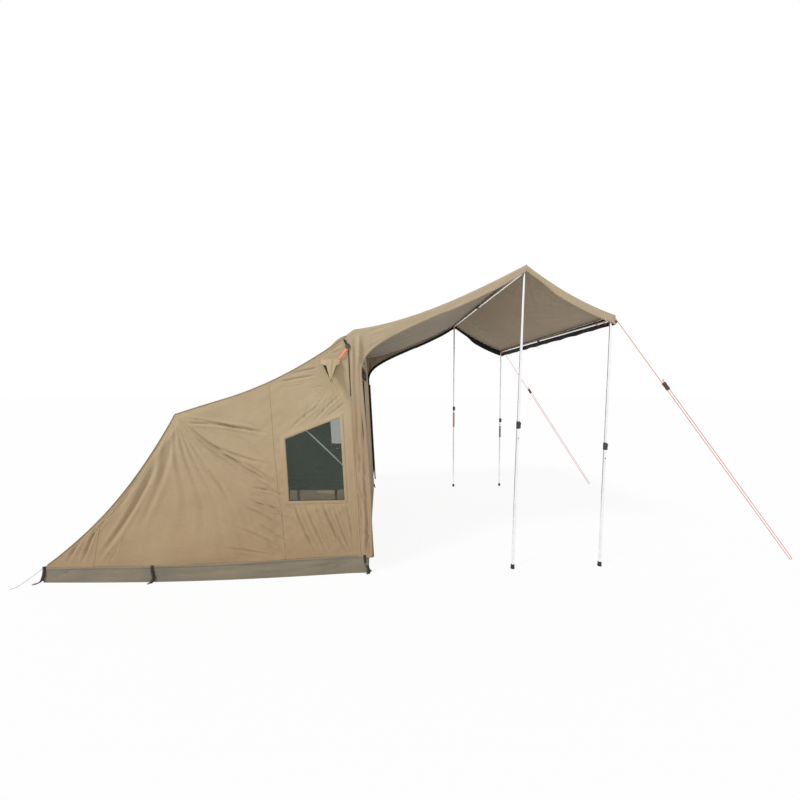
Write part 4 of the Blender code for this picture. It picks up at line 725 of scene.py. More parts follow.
woven, given, result = new_group("Woven cloth", [("Threads per metre", 900.0), ("Wrinkle", 0.5)],
                                 [("Height", "NodeSocketFloat")])
spot = node(woven, "ShaderNodeUVMap", [("uv_map", "cut")])
split = node(woven, "ShaderNodeSeparateXYZ", at={0: spot.outputs[0]})
turns = sums(woven, "MULTIPLY", given.outputs["Threads per metre"], math.pi)
warp, weft = (sums(woven, "SINE", sums(woven, "MULTIPLY", split.outputs[i], turns)) for i in range(2))
crumple = node(woven, "ShaderNodeTexNoise", Scale=9.0, Detail=3.0, Roughness=0.55, Distortion=1.6,
               Vector=spot.outputs[0])
depth = sums(woven, "MULTIPLY", given.outputs["Wrinkle"], 10.0)
soft = sums(woven, "MULTIPLY", crumple.outputs[0], depth)
threads = sums(woven, "MULTIPLY", sums(woven, "MULTIPLY", warp, weft), 0.5)
woven.links.new(sums(woven, "ADD", threads, soft), result.inputs["Height"])

# Towards the bottom, below a height, the colour darkens and browns in patches. On the tub this is dust; on the canvas
# walls and the awning's wings it is painted shade for their lower parts.
SOIL_AND_SHADE = (0.29, 0.17, 0.083, 1.0)
tone_inputs = [("Colour", (0.5, 0.4, 0.3)), ("Faded", (0.6, 0.5, 0.4)), ("Dust", 0.3), ("Clean above", 1.0),
               ("Dusty below", 0.1)]
tone, given, result = new_group("Cloth tone", tone_inputs, [("Colour", "NodeSocketColor")])
spot = node(tone, "ShaderNodeTexCoord").outputs["Object"]
flat = node(tone, "ShaderNodeUVMap", [("uv_map", "cut")])
patches = node(tone, "ShaderNodeTexNoise", Scale=1.7, Detail=4.0, Roughness=0.6, Vector=spot)
stretch = node(tone, "ShaderNodeMapping", Scale=(12.0, 520.0, 1.0), Vector=flat.outputs[0])
slubs = node(tone, "ShaderNodeTexNoise", Scale=1.0, Detail=2.0, Roughness=0.5, Vector=stretch.outputs[0])
level = node(tone, "ShaderNodeMapRange", From_Min=0.35, From_Max=0.68, Value=patches.outputs[0])
fade = mixed(tone, level.outputs[0], given.outputs["Colour"], given.outputs["Faded"])
place = node(tone, "ShaderNodeSeparateXYZ", at={0: spot})
low = node(tone, "ShaderNodeMapRange", From_Min=given.outputs["Clean above"],
           From_Max=given.outputs["Dusty below"], Value=place.outputs["Z"])
dust_and_shade_mask = sums(tone, "MULTIPLY", low.outputs[0], patches.outputs[0])
dusted_and_shaded = mixed(tone, sums(tone, "MULTIPLY", dust_and_shade_mask, given.outputs["Dust"]), fade, SOIL_AND_SHADE)
grain = node(tone, "ShaderNodeMapRange", From_Min=0.3, From_Max=0.7, To_Min=0.95, To_Max=1.05,
             Value=slubs.outputs[0])
shade = node(tone, "ShaderNodeVectorMath", [("operation", "SCALE")], at={0: dusted_and_shaded}, Scale=grain.outputs[0])
tone.links.new(shade.outputs[0], result.inputs["Colour"])


def dyed(made, colour, faded, dust_and_shade, clean=1.0, dust_and_shade_below=0.1):
    """Gives a material its fading, and its darkening towards the bottom: dust on the tub, painted shade on the canvas
    and the wings.
    """
    tree = made.node_tree
    dye = node(tree, "ShaderNodeGroup", [("node_tree", tone)], Colour=(*colour, 1.0), Faded=(*faded, 1.0),
               Dust=dust_and_shade, Clean_above=clean, Dusty_below=dust_and_shade_below)
    tree.links.new(dye.outputs[0], tree.nodes["Principled BSDF"].inputs["Base Color"])


def weave_on(made, threads, wrinkle, strength, distance):
    """Gives a material its threads and small wrinkles."""
    tree = made.node_tree
    weave = node(tree, "ShaderNodeGroup", [("node_tree", woven)], Threads_per_metre=threads, Wrinkle=wrinkle)
    relief(tree, strength, distance, weave.outputs[0])


def fabric(name, colour, faded, roughness=0.86, threads=900.0, wrinkle=0.5, dust_and_shade=0.5, depth=0.00035, sheen=0.15,
           clean=1.25, dust_and_shade_below=0.0):
    """Cloth with its weave and small wrinkles in the bump, and in the colour its fading and its darkening towards the
    bottom, which is dust on the tub and painted shade on the canvas and the wings.
    """
    made = principled(name, colour, roughness)
    shader = made.node_tree.nodes["Principled BSDF"]
    shader.inputs["Sheen Weight"].default_value = sheen
    shader.inputs["Specular IOR Level"].default_value = 0.25
    dyed(made, colour, faded, dust_and_shade, clean, dust_and_shade_below)
    weave_on(made, threads, wrinkle, 0.6, depth)
    return made


def uneven(made, scale, detail, low, high):
    """Roughness that varies between two values from point to point."""
    tree = made.node_tree
    spot = node(tree, "ShaderNodeTexCoord")
    grain = node(tree, "ShaderNodeTexNoise", Scale=scale, Detail=detail, Vector=spot.outputs["Object"])
    level = node(tree, "ShaderNodeMapRange", To_Min=low, To_Max=high, Value=grain.outputs[0])
    tree.links.new(level.outputs[0], tree.nodes["Principled BSDF"].inputs["Roughness"])
    return made


def band(path, width, shape, facing, top=0.0010, foot=-0.0003):
    """A closed flat strip on a shape, along a path of its flat places."""
    path = np.asarray(path, float)
    way = np.gradient(path, axis=0)
    way /= np.linalg.norm(way, axis=1)[:, None] + 1e-12
    side = np.column_stack([-way[:, 1], way[:, 0]]) * width / 2
    inner = np.linspace(-0.97, 0.97, 2 + int(width / 0.012))
    shares = [-1.0, *inner, 1.0, *inner[-2:0:-1]]
    lifts = [foot] + [top] * len(inner) + [foot] * (len(shares) - len(inner) - 1)
    rows = []
    for share, lift in zip(shares, lifts):
        at = path + side * share
        rows.append(lay(shape, at[:, 0], at[:, 1], lift, facing)[0])
    count = len(path)
    run = run_of(path)
    across = [(share + 1) / 2 * width for share in shares]
    points = np.concatenate(rows)
    faces, corners = [], []
    for k in range(len(shares)):
        m = (k + 1) % len(shares)
        for i in range(count - 1):
            quad = [k * count + i, k * count + i + 1, m * count + i + 1, m * count + i]
            spots = [(run[i], across[k]), (run[i + 1], across[k]), (run[i + 1], across[m]), (run[i], across[m])]
            faces.append(quad if facing > 0 else quad[::-1])
            corners += spots if facing > 0 else spots[::-1]
    for i, order in ((0, facing), (count - 1, -facing)):
        cap = [k * count + i for k in range(len(shares))]
        faces.append(cap if order > 0 else cap[::-1])
        corners += [(run[i], 0.0)] * len(cap)
    return points, faces, corners


def joined(name, parts, skins):
    """One piece from several closed shapes of points, faces and corners."""
    points, faces, corners, start = [], [], [], 0
    for shape in parts:
        points.append(np.asarray(shape[0], float))
        faces += [[i + start for i in face] for face in shape[1]]
        corners += list(shape[2])
        start += len(shape[0])
    return piece(name, np.concatenate(points), faces, skins, corners=corners)


def strap(path, across, width, thick):
    """Points, faces and corner places of a flat strap along a path, wide in the direction given."""
    path = np.asarray([tuple(p) for p in path], float)
    ways = np.gradient(path, axis=0)
    ways /= np.linalg.norm(ways, axis=1)[:, None]
    run = run_of(path)
    points, faces, corners = [], [], []
    for here, way, wide in zip(path, ways, np.broadcast_to(np.asarray(across, float), path.shape)):
        above = np.cross(way, wide)
        above /= np.linalg.norm(above)
        side = np.cross(above, way)
        points += [here + side * a * width + above * b * thick
                   for a, b in ((-0.5, -0.5), (0.5, -0.5), (0.5, 0.5), (-0.5, 0.5))]
    places = (0.0, width, width + thick, 2 * width + thick, 2 * (width + thick))
    for i in range(len(path) - 1):
        for k in range(4):
            m = (k + 1) % 4
            faces.append((4 * i + k, 4 * i + m, 4 * i + 4 + m, 4 * i + 4 + k))
            corners += [(run[i], places[k]), (run[i], places[k + 1]), (run[i + 1], places[k + 1]),
                        (run[i + 1], places[k])]
    for first, order in ((0, -1), (4 * len(path) - 4, 1)):
        faces.append([first + k for k in range(4)][::order])
        corners += [(0.0, 0.0)] * 4
    return points, faces, corners


def beside(path, distance):
    """A path moved sideways by a distance, to the left of its own way."""
    path = np.asarray(path, float)
    way = np.gradient(path, axis=0)
    reach = np.linalg.norm(way, axis=1)[:, None] + 1e-12
    return path + np.column_stack([-way[:, 1], way[:, 0]]) / reach * distance


def straight(a, b, step=0.02):
    """Flat places along a line."""
    steps = max(2, math.ceil(math.dist(a, b) / step))
    return [(a[0] + (b[0] - a[0]) * i / steps, a[1] + (b[1] - a[1]) * i / steps) for i in range(steps + 1)]


def along(*stops, step=0.02):
    """Flat places along several lines end to end."""
    path = [stops[0]]
    for a, b in zip(stops, stops[1:]):
        path += straight(a, b, step)[1:]
    return path


vinyl = fabric("grey beige vinyl", (0.188, 0.184, 0.142), (0.262, 0.248, 0.190), roughness=0.50, threads=420.0,
               wrinkle=0.9, dust_and_shade=0.5, depth=0.0004, sheen=0.0)
webbing = fabric("black webbing", (0.018, 0.018, 0.019), (0.03, 0.03, 0.03), roughness=0.75, threads=600.0,
                 wrinkle=0.1, dust_and_shade=0.15, depth=0.0004, sheen=0.1)
tub_skins = [vinyl]
TUB_FOLDS = [((0.20, 0.11), (0.95, 0.07), 0.010, 0.004), ((0.62, 0.04), (1.13, 0.11), 0.009, 0.004),
             ((-0.35, 0.05), (0.35, 0.085), 0.010, 0.0035), ((-1.15, 0.08), (-0.55, 0.04), 0.010, 0.003),
             ((0.90, 0.03), (1.20, 0.12), 0.008, 0.004), ((-0.5, 0.09), (-0.1, 0.06), 0.009, 0.003),
             ((-1.21, 0.020), (-1.02, 0.105), 0.008, 0.005), ((0.05, 0.035), (0.60, 0.050), 0.007, 0.004)]


def tub_side(side):
    """The outer face of the tub's side wall at (x, z)."""
    def shape(x, z):
        s = np.clip(z / tub_top(x), 0, 1)
        held = 4 * s * (1 - s)
        soft = 0.0060 * drift(x, z * 3.0, 0.42, 21 + side) + 0.0016 * drift(x, z * 2.0, 0.12, 23 + side)
        for crease in TUB_FOLDS:
            soft = soft - 1.6 * fold(x, z, *crease)
        return np.column_stack([x, side * (wall_y(x, z) + soft * held), z])
    return shape


def tub_end(x_at, seed):
    """The outer face of the tub's front or rear wall at (y, z)."""
    def shape(y, z):
        s = np.clip(z / 0.13, 0, 1)
        soft = math.copysign(0.002, x_at(0.0)) * 4 * s * (1 - s) * drift(y, z * 3, 0.45, seed)
        return np.column_stack([x_at(z) + 0 * y + soft, y, z])
    return shape


right_edge = [(x, -wall_y(x, 0.0) + 0.0015) for x in np.linspace(-1.2, 1.1, 24)]
left_edge = [(x, wall_y(x, 0.0) - 0.0015) for x in np.linspace(1.1, -1.2, 24)]
base = cut_out([(-1.2485, -1.1985), *right_edge, (1.2485, -1.1985),
                (1.2485, 1.1985), *left_edge, (-1.2485, 1.1985)], spacing=0.05)
flat_floor = lambda x, y: np.column_stack([x, y, 0.0018 + 0.0006 * drift(x, y, 0.5, 3)])
tub_base = cloth("tub_base", base, flat_floor, 1, tub_skins)
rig.ride(tub_base, "tent_shell")
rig.replaces(tub_base, "tub_floor")
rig.slot(tub_base, "tub_vinyl")
sheet(tub_base, base, "laid", [])
trim, straps = [], []
for name, side in SIDES.items():
    shape = tub_side(side)
    rim = [(x, float(tub_top(x)) + 0.002) for x in np.linspace(1.2, -1.25, 30)]
    net = cut_out([(-1.25, 0.0), (1.25, 0.0), (door_x(0.147), 0.147)] + rim)
    made = cloth("tub_wall_" + name, net, shape, -side, tub_skins)
    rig.ride(made, "tent_shell")
    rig.slot(made, "tub_vinyl")
    sheet(made, net, "stretched", ["tub_base"])
    hem = [(x, float(tub_top(x)) - 0.008) for x in np.linspace(1.235, -1.245, 40)]
    trim.append(band(along(*hem), 0.016, shape, -side, 0.0014))
    trim.append(band(along((1.245, 0.006), (-1.245, 0.006)), 0.010, shape, -side, 0.0016))
    for x, out in ((-0.41, 0.030), (-1.236, 0.052), (1.216, 0.026)):
        top = float(tub_top(x)) + (0.012 if x < -1 else 0.004)
        y = float(wall_y(x, 0.05))
        stops = [(-0.004, float(wall_y(x, top)) - y + 0.0030, top), (-0.003, 0.0052, 0.085),
                 (0.007, 0.0080, 0.050), (0.006, 0.009, 0.028), (0.0, 0.014, 0.0105),
                 (-0.008, 0.4 * out + 0.008, 0.0062), (-0.016, out, 0.0062)]
        if x > 1:
            round_corner = (0.006, 0.014, 0.022, 0.032, 0.040, 0.042, 0.040)
            stops = [(ahead + shift, off, z) for (ahead, off, z), shift in zip(stops, round_corner)]
        if x < -1:
            stops[1:] = [(-0.004, 0.0045, 0.085), (-0.012, 0.006, 0.045), (-0.022, 0.014, 0.018),
                         (-0.036, 0.024, 0.0085), (-0.052, 0.034, 0.0075)]
        stops = [(x + ahead, side * (y + off), z) for ahead, off, z in stops]
        route = smooth_route(stops, 5)
        across = (1, 0, 0)
        if x < -1:
            turn = smooth(np.linspace(-0.5, 1.1, len(route)))[:, None]
            across = np.array((1.0, 0.0, 0.0)) * (1 - turn) + np.array((0.48, side * 0.87, 0.0)) * turn
        straps.append(strap(route, across, 0.022, 0.0018))
        ring = [(0.010 * math.cos(t), 0.010 * 0.9 * math.sin(t) * side, 0.0)
                for t in np.linspace(0, 2 * math.pi, 18, endpoint=False)]
        straps.append(tube(np.array(stops[-1]) + ring, 0.0016, 6, closed=True))
for label, x_at, seed in (("front", door_x, 31), ("rear", lambda z: -1.25 + 0 * z, 32)):
    shape = tub_end(x_at, seed)
    height = 0.1465 if label == "front" else 0.1165
    net = cut_out([(-1.2, 0.0), (1.2, 0.0), (1.2, height), (-1.2, height)])
    facing = 1 if label == "front" else -1
    made = cloth("tub_wall_" + label, net, shape, facing, tub_skins)
    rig.ride(made, "tent_shell")
    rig.slot(made, "tub_vinyl")
    sheet(made, net, "stretched", ["tub_base"])
    trim.append(band(along((-1.195, height - 0.009), (1.195, height - 0.009)), 0.016, shape, facing, 0.0014))
    for y in (-1.185, 1.185):
        drops = ((height, 0.0030), (0.075, 0.0058), (0.030, 0.0070), (0.010, 0.012), (0.006, 0.026))
        stops = [(float(x_at(z)) + facing * reach, y, z) for z, reach in drops]
        straps.append(strap(smooth_route(stops, 5), (0, 1, 0), 0.022, 0.0018))
made = joined("tub_rim", trim, [vinyl])
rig.ride(made, "tent_shell")
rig.slot(made, "tub_vinyl")
made = joined("tub_peg_straps", straps, [webbing])
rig.ride(made, "tent_shell")


# Rows of stitches, made along any seam: each stitch is a small flattened bead of thread laid along
# the line. The same rows make the zips' teeth from blunt metal or plastic beads.

rows = bpy.data.node_groups.new("Row along a line", "GeometryNodeTree")
rows.interface.new_socket("Lines", in_out="INPUT", socket_type="NodeSocketGeometry")
for label in ("Pitch", "Length", "Width"):
    rows.interface.new_socket(label, in_out="INPUT", socket_type="NodeSocketFloat")
rows.interface.new_socket("Finish", in_out="INPUT", socket_type="NodeSocketMaterial")
rows.interface.new_socket("Rows", in_out="OUTPUT", socket_type="NodeSocketGeometry")
given = rows.nodes.new("NodeGroupInput").outputs
curve = node(rows, "GeometryNodeMeshToCurve", at={0: given["Lines"]})
spaced = node(rows, "GeometryNodeResampleCurve", [("mode", "LENGTH")], Curve=curve.outputs[0],
              Length=given["Pitch"])
bead = node(rows, "GeometryNodeMeshUVSphere", Segments=6, Rings=4, Radius=0.5)
size = node(rows, "ShaderNodeCombineXYZ", at={0: given["Length"], 1: given["Width"], 2: given["Width"]})
shaped = node(rows, "GeometryNodeTransform", Geometry=bead.outputs[0], Scale=size.outputs[0])
heading = node(rows, "GeometryNodeInputTangent")
aimed = node(rows, "FunctionNodeAlignRotationToVector", [("axis", "X")], Vector=heading.outputs[0])
laid = node(rows, "GeometryNodeInstanceOnPoints", Points=spaced.outputs[0], Instance=shaped.outputs[0],
            Rotation=aimed.outputs[0])
real = node(rows, "GeometryNodeRealizeInstances", at={0: laid.outputs[0]})
finish = node(rows, "GeometryNodeSetMaterial", Geometry=real.outputs[0], Material=given["Finish"])
node(rows, "NodeGroupOutput", at={0: finish.outputs[0]})


def row_of(name, lines, finish, pitch=0.008, length=0.005, width=0.0009):
    """A plain mesh of beads along lines of points in the tent's frame."""
    points, edges = [], []
    for line in lines:
        edges += [(len(points) + i, len(points) + i + 1) for i in range(len(line) - 1)]
        points += [tuple(p) for p in line]
    guide = bpy.data.meshes.new(name + " guide")
    guide.from_pydata(points, edges, [])
    holder = bpy.data.objects.new(name + " guide", guide)
    scene.collection.objects.link(holder)
    step = holder.modifiers.new("rows", "NODES")
    step.node_group = rows
    for item in rows.interface.items_tree:
        value = {"Pitch": pitch, "Length": length, "Width": width, "Finish": finish}.get(item.name)
        if value is not None and item.in_out == "INPUT":
            step[item.identifier] = value
    bpy.context.view_layer.update()
    mesh = bpy.data.meshes.new_from_object(holder.evaluated_get(bpy.context.evaluated_depsgraph_get()))
    bpy.data.objects.remove(holder, do_unlink=True)
    mesh.name = name
    mesh.shade_smooth()
    made = bpy.data.objects.new(name, mesh)
    scene.collection.objects.link(made)
    return made


thread = uneven(principled("sand thread", (0.36, 0.28, 0.17), 0.7), 2500.0, 1.0, 0.55, 0.9)
stitches = []
for name, side in SIDES.items():
    for drop in (0.003, 0.013):
        path = np.array(along(*[(x, float(tub_top(x)) - drop) for x in np.linspace(1.235, -1.245, 40)]))
        stitches.append(lay(tub_side(side), path[:, 0], path[:, 1], 0.0015, -side)[0])
made = row_of("tub_stitches", stitches, thread)
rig.ride(made, "tent_shell")
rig.slot(made, "tub_vinyl")


# Side walls. Sand canvas with an upright seam behind the window, a gusset seam at the rear and a
# sewn frame round the window. The pull of the rear ridge corner, of the window's frame and of the
# front foot shows as long folds.

# The canvas's strong darkening towards the ground is painted shade on the lower walls.
canvas = fabric("sand canvas", (0.463, 0.358, 0.214), (0.505, 0.397, 0.252), wrinkle=0.8, dust_and_shade=1.3)
canvas_in = fabric("canvas inside", (0.42, 0.34, 0.225), (0.46, 0.375, 0.25), dust_and_shade=0.2)


WINDOW_SETBACK, WINDOW_WIDTH, WINDOW_SILL = 0.157, 0.438, 0.60
WINDOW_FRONT_HEIGHT, WINDOW_REAR_HEIGHT = 0.67, 0.495
VENT_X = DOOR_X - 0.2935


def window_outline(lap=0.0):
    """The window's four corners, moved out by a lap."""
    corners = []
    for back, height in ((0, 0), (0, WINDOW_FRONT_HEIGHT), (1, WINDOW_REAR_HEIGHT), (1, 0)):
        z = WINDOW_SILL + height
        corners.append([door_x(z) - WINDOW_SETBACK - back * WINDOW_WIDTH, z])
    middle = np.mean(corners, axis=0)
    return [tuple(np.array(c) + np.sign(np.array(c) - middle) * lap) for c in corners]


def hood_hole():
    """The vent's three corners in the side wall."""
    return [(VENT_X - 0.062, 1.685), (VENT_X + 0.052, 1.685), (VENT_X + 0.002, 1.548)]


roof_line = roof_profile()
rear_line = rear_profile()
WALL_EDGE = [(door_x(0.148) - 0.001, 0.148), (door_x(1.963) - 0.001, 1.963)]
WALL_EDGE += [(x, z - 0.0012) for x, z in roof_line[1:-1]] + [(REAR_RIDGE[0] + 0.0005, REAR_RIDGE[1] - 0.001)]
WALL_EDGE += [(x + 0.001, z - 0.0006) for x, z in rear_line[1:-1]] + [(-1.2470, 0.1165)]
WALL_EDGE += [(x, float(tub_top(x)) + 0.0005) for x in np.linspace(-1.2, 1.2, 13)]

# The creases seen: start and end ahead of the door's foot, width, depth and bend.
WALL_FOLDS = [
    ((-1.41, 1.262), (-0.98, 1.170), 0.011, 0.009, 0.015), ((-1.40, 1.232), (-0.80, 1.140), 0.014, 0.013, 0.02),
    ((-1.44, 1.244), (-0.72, 0.725), 0.013, 0.015, -0.03), ((-1.45, 1.234), (-1.00, 0.838), 0.012, 0.011, -0.02),
    ((-1.27, 1.083), (-0.78, 0.896), 0.015, 0.009, -0.02), ((-1.33, 0.923), (-1.10, 0.636), 0.018, 0.007, 0.02),
    ((-1.20, 1.00), (-0.86, 0.83), 0.010, 0.008, 0.01), ((-0.98, 0.919), (-0.70, 0.735), 0.012, 0.011, 0.0),
    ((-0.905, 0.714), (-0.655, 0.640), 0.012, 0.009, 0.01), ((-0.89, 0.775), (-0.72, 0.672), 0.009, 0.008, 0.0),
    ((-0.966, 0.552), (-0.66, 0.372), 0.014, 0.010, 0.01), ((-0.90, 0.600), (-0.67, 0.520), 0.009, 0.007, 0.0),
    ((-1.008, 0.389), (-0.67, 0.215), 0.014, 0.009, 0.01), ((-0.88, 0.43), (-0.66, 0.29), 0.010, 0.007, 0.0),
    ((-1.12, 0.255), (-0.73, 0.175), 0.012, 0.006, 0.0), ((-1.493, 1.244), (-1.953, 0.532), 0.030, 0.012, -0.02),
    ((-1.66, 0.887), (-2.060, 0.200), 0.024, 0.010, 0.02), ((-1.50, 1.15), (-1.78, 0.40), 0.030, 0.006, 0.02),
    ((-2.06, 0.534), (-2.31, 0.165), 0.016, 0.010, -0.01), ((-2.10, 0.415), (-2.20, 0.15), 0.014, 0.007, 0.0),
    ((-0.588, 0.575), (-0.399, 0.167), 0.013, 0.010, -0.015),
    ((-0.500, 0.570), (-0.328, 0.190), 0.011, 0.009, -0.01),
    ((-0.366, 0.575), (-0.158, 0.170), 0.014, 0.012, -0.015),
    ((-0.270, 0.540), (-0.133, 0.180), 0.010, 0.009, -0.01),
    ((-0.175, 0.556), (-0.119, 0.190), 0.010, 0.008, 0.01), ((-0.53, 0.36), (-0.36, 0.165), 0.009, 0.006, 0.0),
    ((-0.43, 1.235), (-0.19, 1.470), 0.011, 0.0045, 0.01), ((-0.612, 1.179), (-0.36, 1.380), 0.012, 0.004, 0.01),
    ((-0.33, 1.27), (-0.17, 1.40), 0.009, 0.0035, 0.0), ((-0.62, 1.610), (-0.34, 1.672), 0.010, 0.007, 0.005),
    ((-0.72, 1.545), (-0.39, 1.604), 0.011, 0.007, 0.005),
    ((-0.36, 1.750), (-0.185, 1.865), 0.011, 0.008, 0.005),
    ((-0.42, 1.730), (-0.22, 1.800), 0.010, 0.006, 0.0), ((-0.30, 1.52), (-0.22, 1.33), 0.009, 0.0035, 0.01),
    ((-0.27, 1.56), (-0.15, 1.66), 0.009, 0.005, 0.0)]

# Patches of fine creases: left, right, foot and head of the patch, two angles, count, lengths, depth.
FINE_CREASES = [(-1.05, -0.62, 0.20, 0.88, -42, -14, 26, (0.10, 0.32), 0.0052),
                (-0.60, -0.12, 0.20, 0.56, -78, -52, 16, (0.10, 0.28), 0.0050),
                (-0.52, -0.16, 1.26, 1.62, 40, 72, 14, (0.10, 0.26), 0.0030),
                (-0.90, -0.35, 1.50, 1.70, 10, 24, 9, (0.12, 0.30), 0.0036),
                (-1.36, -0.75, 0.76, 1.18, -50, -24, 14, (0.12, 0.34), 0.0040),
                (-2.25, -1.92, 0.20, 0.60, 50, 66, 10, (0.12, 0.34), 0.0048)]


def fine_creases():
    """The small creases of a side wall, with a start, an end, a width, a depth and a bend each."""
    rng = np.random.default_rng(17)
    made = []
    for left, right, foot, head, low, high, count, lengths, depth in FINE_CREASES:
        for _ in range(count):
            x, z, turn = rng.uniform(left, right), rng.uniform(foot, head), math.radians(rng.uniform(low, high))
            reach = rng.uniform(*lengths) / 2
            step = (reach * math.cos(turn), reach * math.sin(turn))
            made.append(((x - step[0], z - step[1]), (x + step[0], z + step[1]), rng.uniform(0.005, 0.009),
                         depth * rng.uniform(0.5, 1.0), rng.uniform(-0.015, 0.015)))
    return made


WALL_FOLDS += fine_creases()


def wall_relief(u, v):
    """Outward relief of a side wall at (x, z), from the creases seen and a calm unevenness."""
    held = near_edge(u, v, WALL_EDGE, 0.05) * near_edge(u, v, window_outline(0.012), 0.035)
    held = held * smooth((np.hypot((u - VENT_X) / 0.105, (v - 1.645) / 0.125) - 0.85) / 0.5)
    clear = 1 - smooth((u - door_x(v) + 0.15) / 0.07)
    soft = 0.007 * drift(u, v, 0.9, 5) + 0.0022 * drift(u, v, 0.22, 6) + 0.0007 * drift(u, v, 0.09, 7)
    soft = soft + fan(u, v, REAR_RIDGE, -138.0, -12.0, 12.0, 0.0045, rise=0.30, reach=0.45)
    near_foot = smooth((0.62 - v) / 0.2) * smooth((u + 0.15) / 0.5)
    beside_window = smooth((u - 0.15) / 0.4)
    soft = soft + 0.0016 * near_foot * drift(u * 1.0 + v * 0.45, v * 0.18, 0.060, 8)
    rising = drift(u * 0.75 - v * 0.65, (u * 0.65 + v * 0.75) * 0.2, 0.055, 9)
    falling = drift(u * 0.5 + v * 0.85, (u * 0.85 - v * 0.5) * 0.15, 0.060, 10)
    soft = soft + 0.0012 * beside_window * rising + 0.0013 * (1 - beside_window) * falling
    for start, end, width, depth, bend in WALL_FOLDS:
        soft = soft - 1.15 * fold(u - DOOR_X, v, start, end, 0.82 * width, depth, bend)
    return soft * held * clear


def side_wall(side):
    """The outer face of a side wall at (x, z)."""
    def shape(x, z):
        return np.column_stack([x, side * (wall_y(x, z) + wall_relief(x, z) - 0.0003), z])
    return shape


seam_lines = {"wall": along((0.469, 1.522), (0.504, 0.963), (0.594, 0.139)),
              "gusset": along(*[tuple(p) for p in rear_line[2:27] + (0.030, -0.014)], (-0.866, 0.121))}
window_frame = along(*window_outline(0.014), window_outline(0.014)[0], step=0.01)
for name, side in SIDES.items():
    shape = side_wall(side)
    net = cut_out(WALL_EDGE, [window_outline(), hood_hole()], spacing=0.0098)
    made = cloth("side_wall_%s_canvas" % name, net, shape, -side, [canvas, canvas_in])
    swing(made)
    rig.replaces(made, "side_wall_" + name)
    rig.slot(made, "canvas")
    sheet(made, net, "stretched", ["tub_wall_" + name])
    seams = [band(seam_lines["wall"], 0.013, shape, -side, 0.0006),
             band(seam_lines["gusset"], 0.012, shape, -side, 0.0006)]
    made = joined("side_wall_%s_seams" % name, seams, [canvas])
    swing(made)
    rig.slot(made, "canvas")
    made = joined("window_%s_frame" % name, [band(window_frame, 0.026, shape, -side, 0.0008)], [canvas])
    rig.ride(made, "tent_shell")
    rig.slot(made, "canvas")
    lines = []
    for line, half in ((seam_lines["wall"], 0.0042), (seam_lines["gusset"], 0.0038)):
        for sign in (-1, 1):
            at = beside(line, sign * half)
            lines.append(lay(shape, at[:, 0], at[:, 1], 0.0007, -side)[0])
    made = row_of("side_wall_%s_stitches" % name, lines, thread)
    swing(made)
    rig.slot(made, "canvas")
    lines = []
    for lap in (0.004, 0.023):
        line = np.array(along(*window_outline(lap), window_outline(lap)[0], step=0.01))
        lines.append(lay(shape, line[:, 0], line[:, 1], 0.0013, -side)[0])
    made = row_of("window_%s_stitches" % name, lines, thread)
    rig.ride(made, "tent_shell")
    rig.slot(made, "canvas")


# Roof and rear wall. One width of canvas from the front ridge over the arms and down to the tub. It
# is tight over the bars and sags a little between them, and a felled seam crosses it.

ROOF_EDGE = [(REAR_RIDGE[0] + 0.0005, -1.1995), (DOOR_X - RIDGE_SETBACK - 0.0005, -1.1995),
             (DOOR_X - RIDGE_SETBACK - 0.0005, 1.1995), (REAR_RIDGE[0] + 0.0005, 1.1995)]
rear_run = run_of(rear_line[::-1])
REAR_CUT = float(rear_run[-1])


def roof_shape(x, y):
    """The roof's outer face at (x, y), a little slack between its bars."""
    held = near_edge(x, y, ROOF_EDGE, 0.16)
    soft = 0.004 * drift(x, y, 1.0, 41) + 0.0015 * drift(x, y, 0.25, 42)
    between = np.sin(math.pi * np.clip((x - REAR_RIDGE[0]) / 1.39, 0, 1))
    soft = soft - 0.009 * np.cos(math.pi * y / 2.4) ** 2 * between
    for side in (-1, 1):
        soft = soft + fan(x, y * side, (REAR_RIDGE[0], 1.2), -88.0, -4.0, 8.0, 0.004, rise=0.35, reach=0.4)
        soft = soft + fan(x, y * side, (1.14, 1.2), -176.0, -94.0, 7.0, 0.003, rise=0.30, reach=0.3)
    return np.column_stack([x, y, roof_z(DOOR_X - x) + soft * held])


def rear_place(s):
    """The (x, z) on the rear wall's line at a distance up from its foot."""
    return tuple(np.interp(s, rear_run, rear_line[::-1, i]) for i in range(2))


def rear_shape(y, s):
    """The rear wall's outer face, by its place across and its distance up from the foot."""
    x, z = rear_place(s)
    ahead, above = rear_place(s + 0.02)
    behind, below = rear_place(s - 0.02)
    way = np.hypot(ahead - behind, above - below) + 1e-9
    held = smooth((1.2 - np.abs(y)) / 0.10) * smooth(s / 0.06) * smooth((REAR_CUT - s) / 0.05)
    soft = 0.006 * drift(y, s, 0.9, 51) + 0.0015 * drift(y, s, 0.2, 52)
    for side in (-1, 1):
        soft = soft + fan(y * side, s, (1.2, REAR_CUT), -176.0, -92.0, 10.0, 0.006, rise=0.35, reach=0.5)
        soft = soft + fan(y * side, s, (1.2, 0.0), 92.0, 176.0, 7.0, 0.003, rise=0.30, reach=0.3)
    soft = soft * held
    return np.column_stack([x - soft * (above - below) / way, y, z + soft * (ahead - behind) / way])


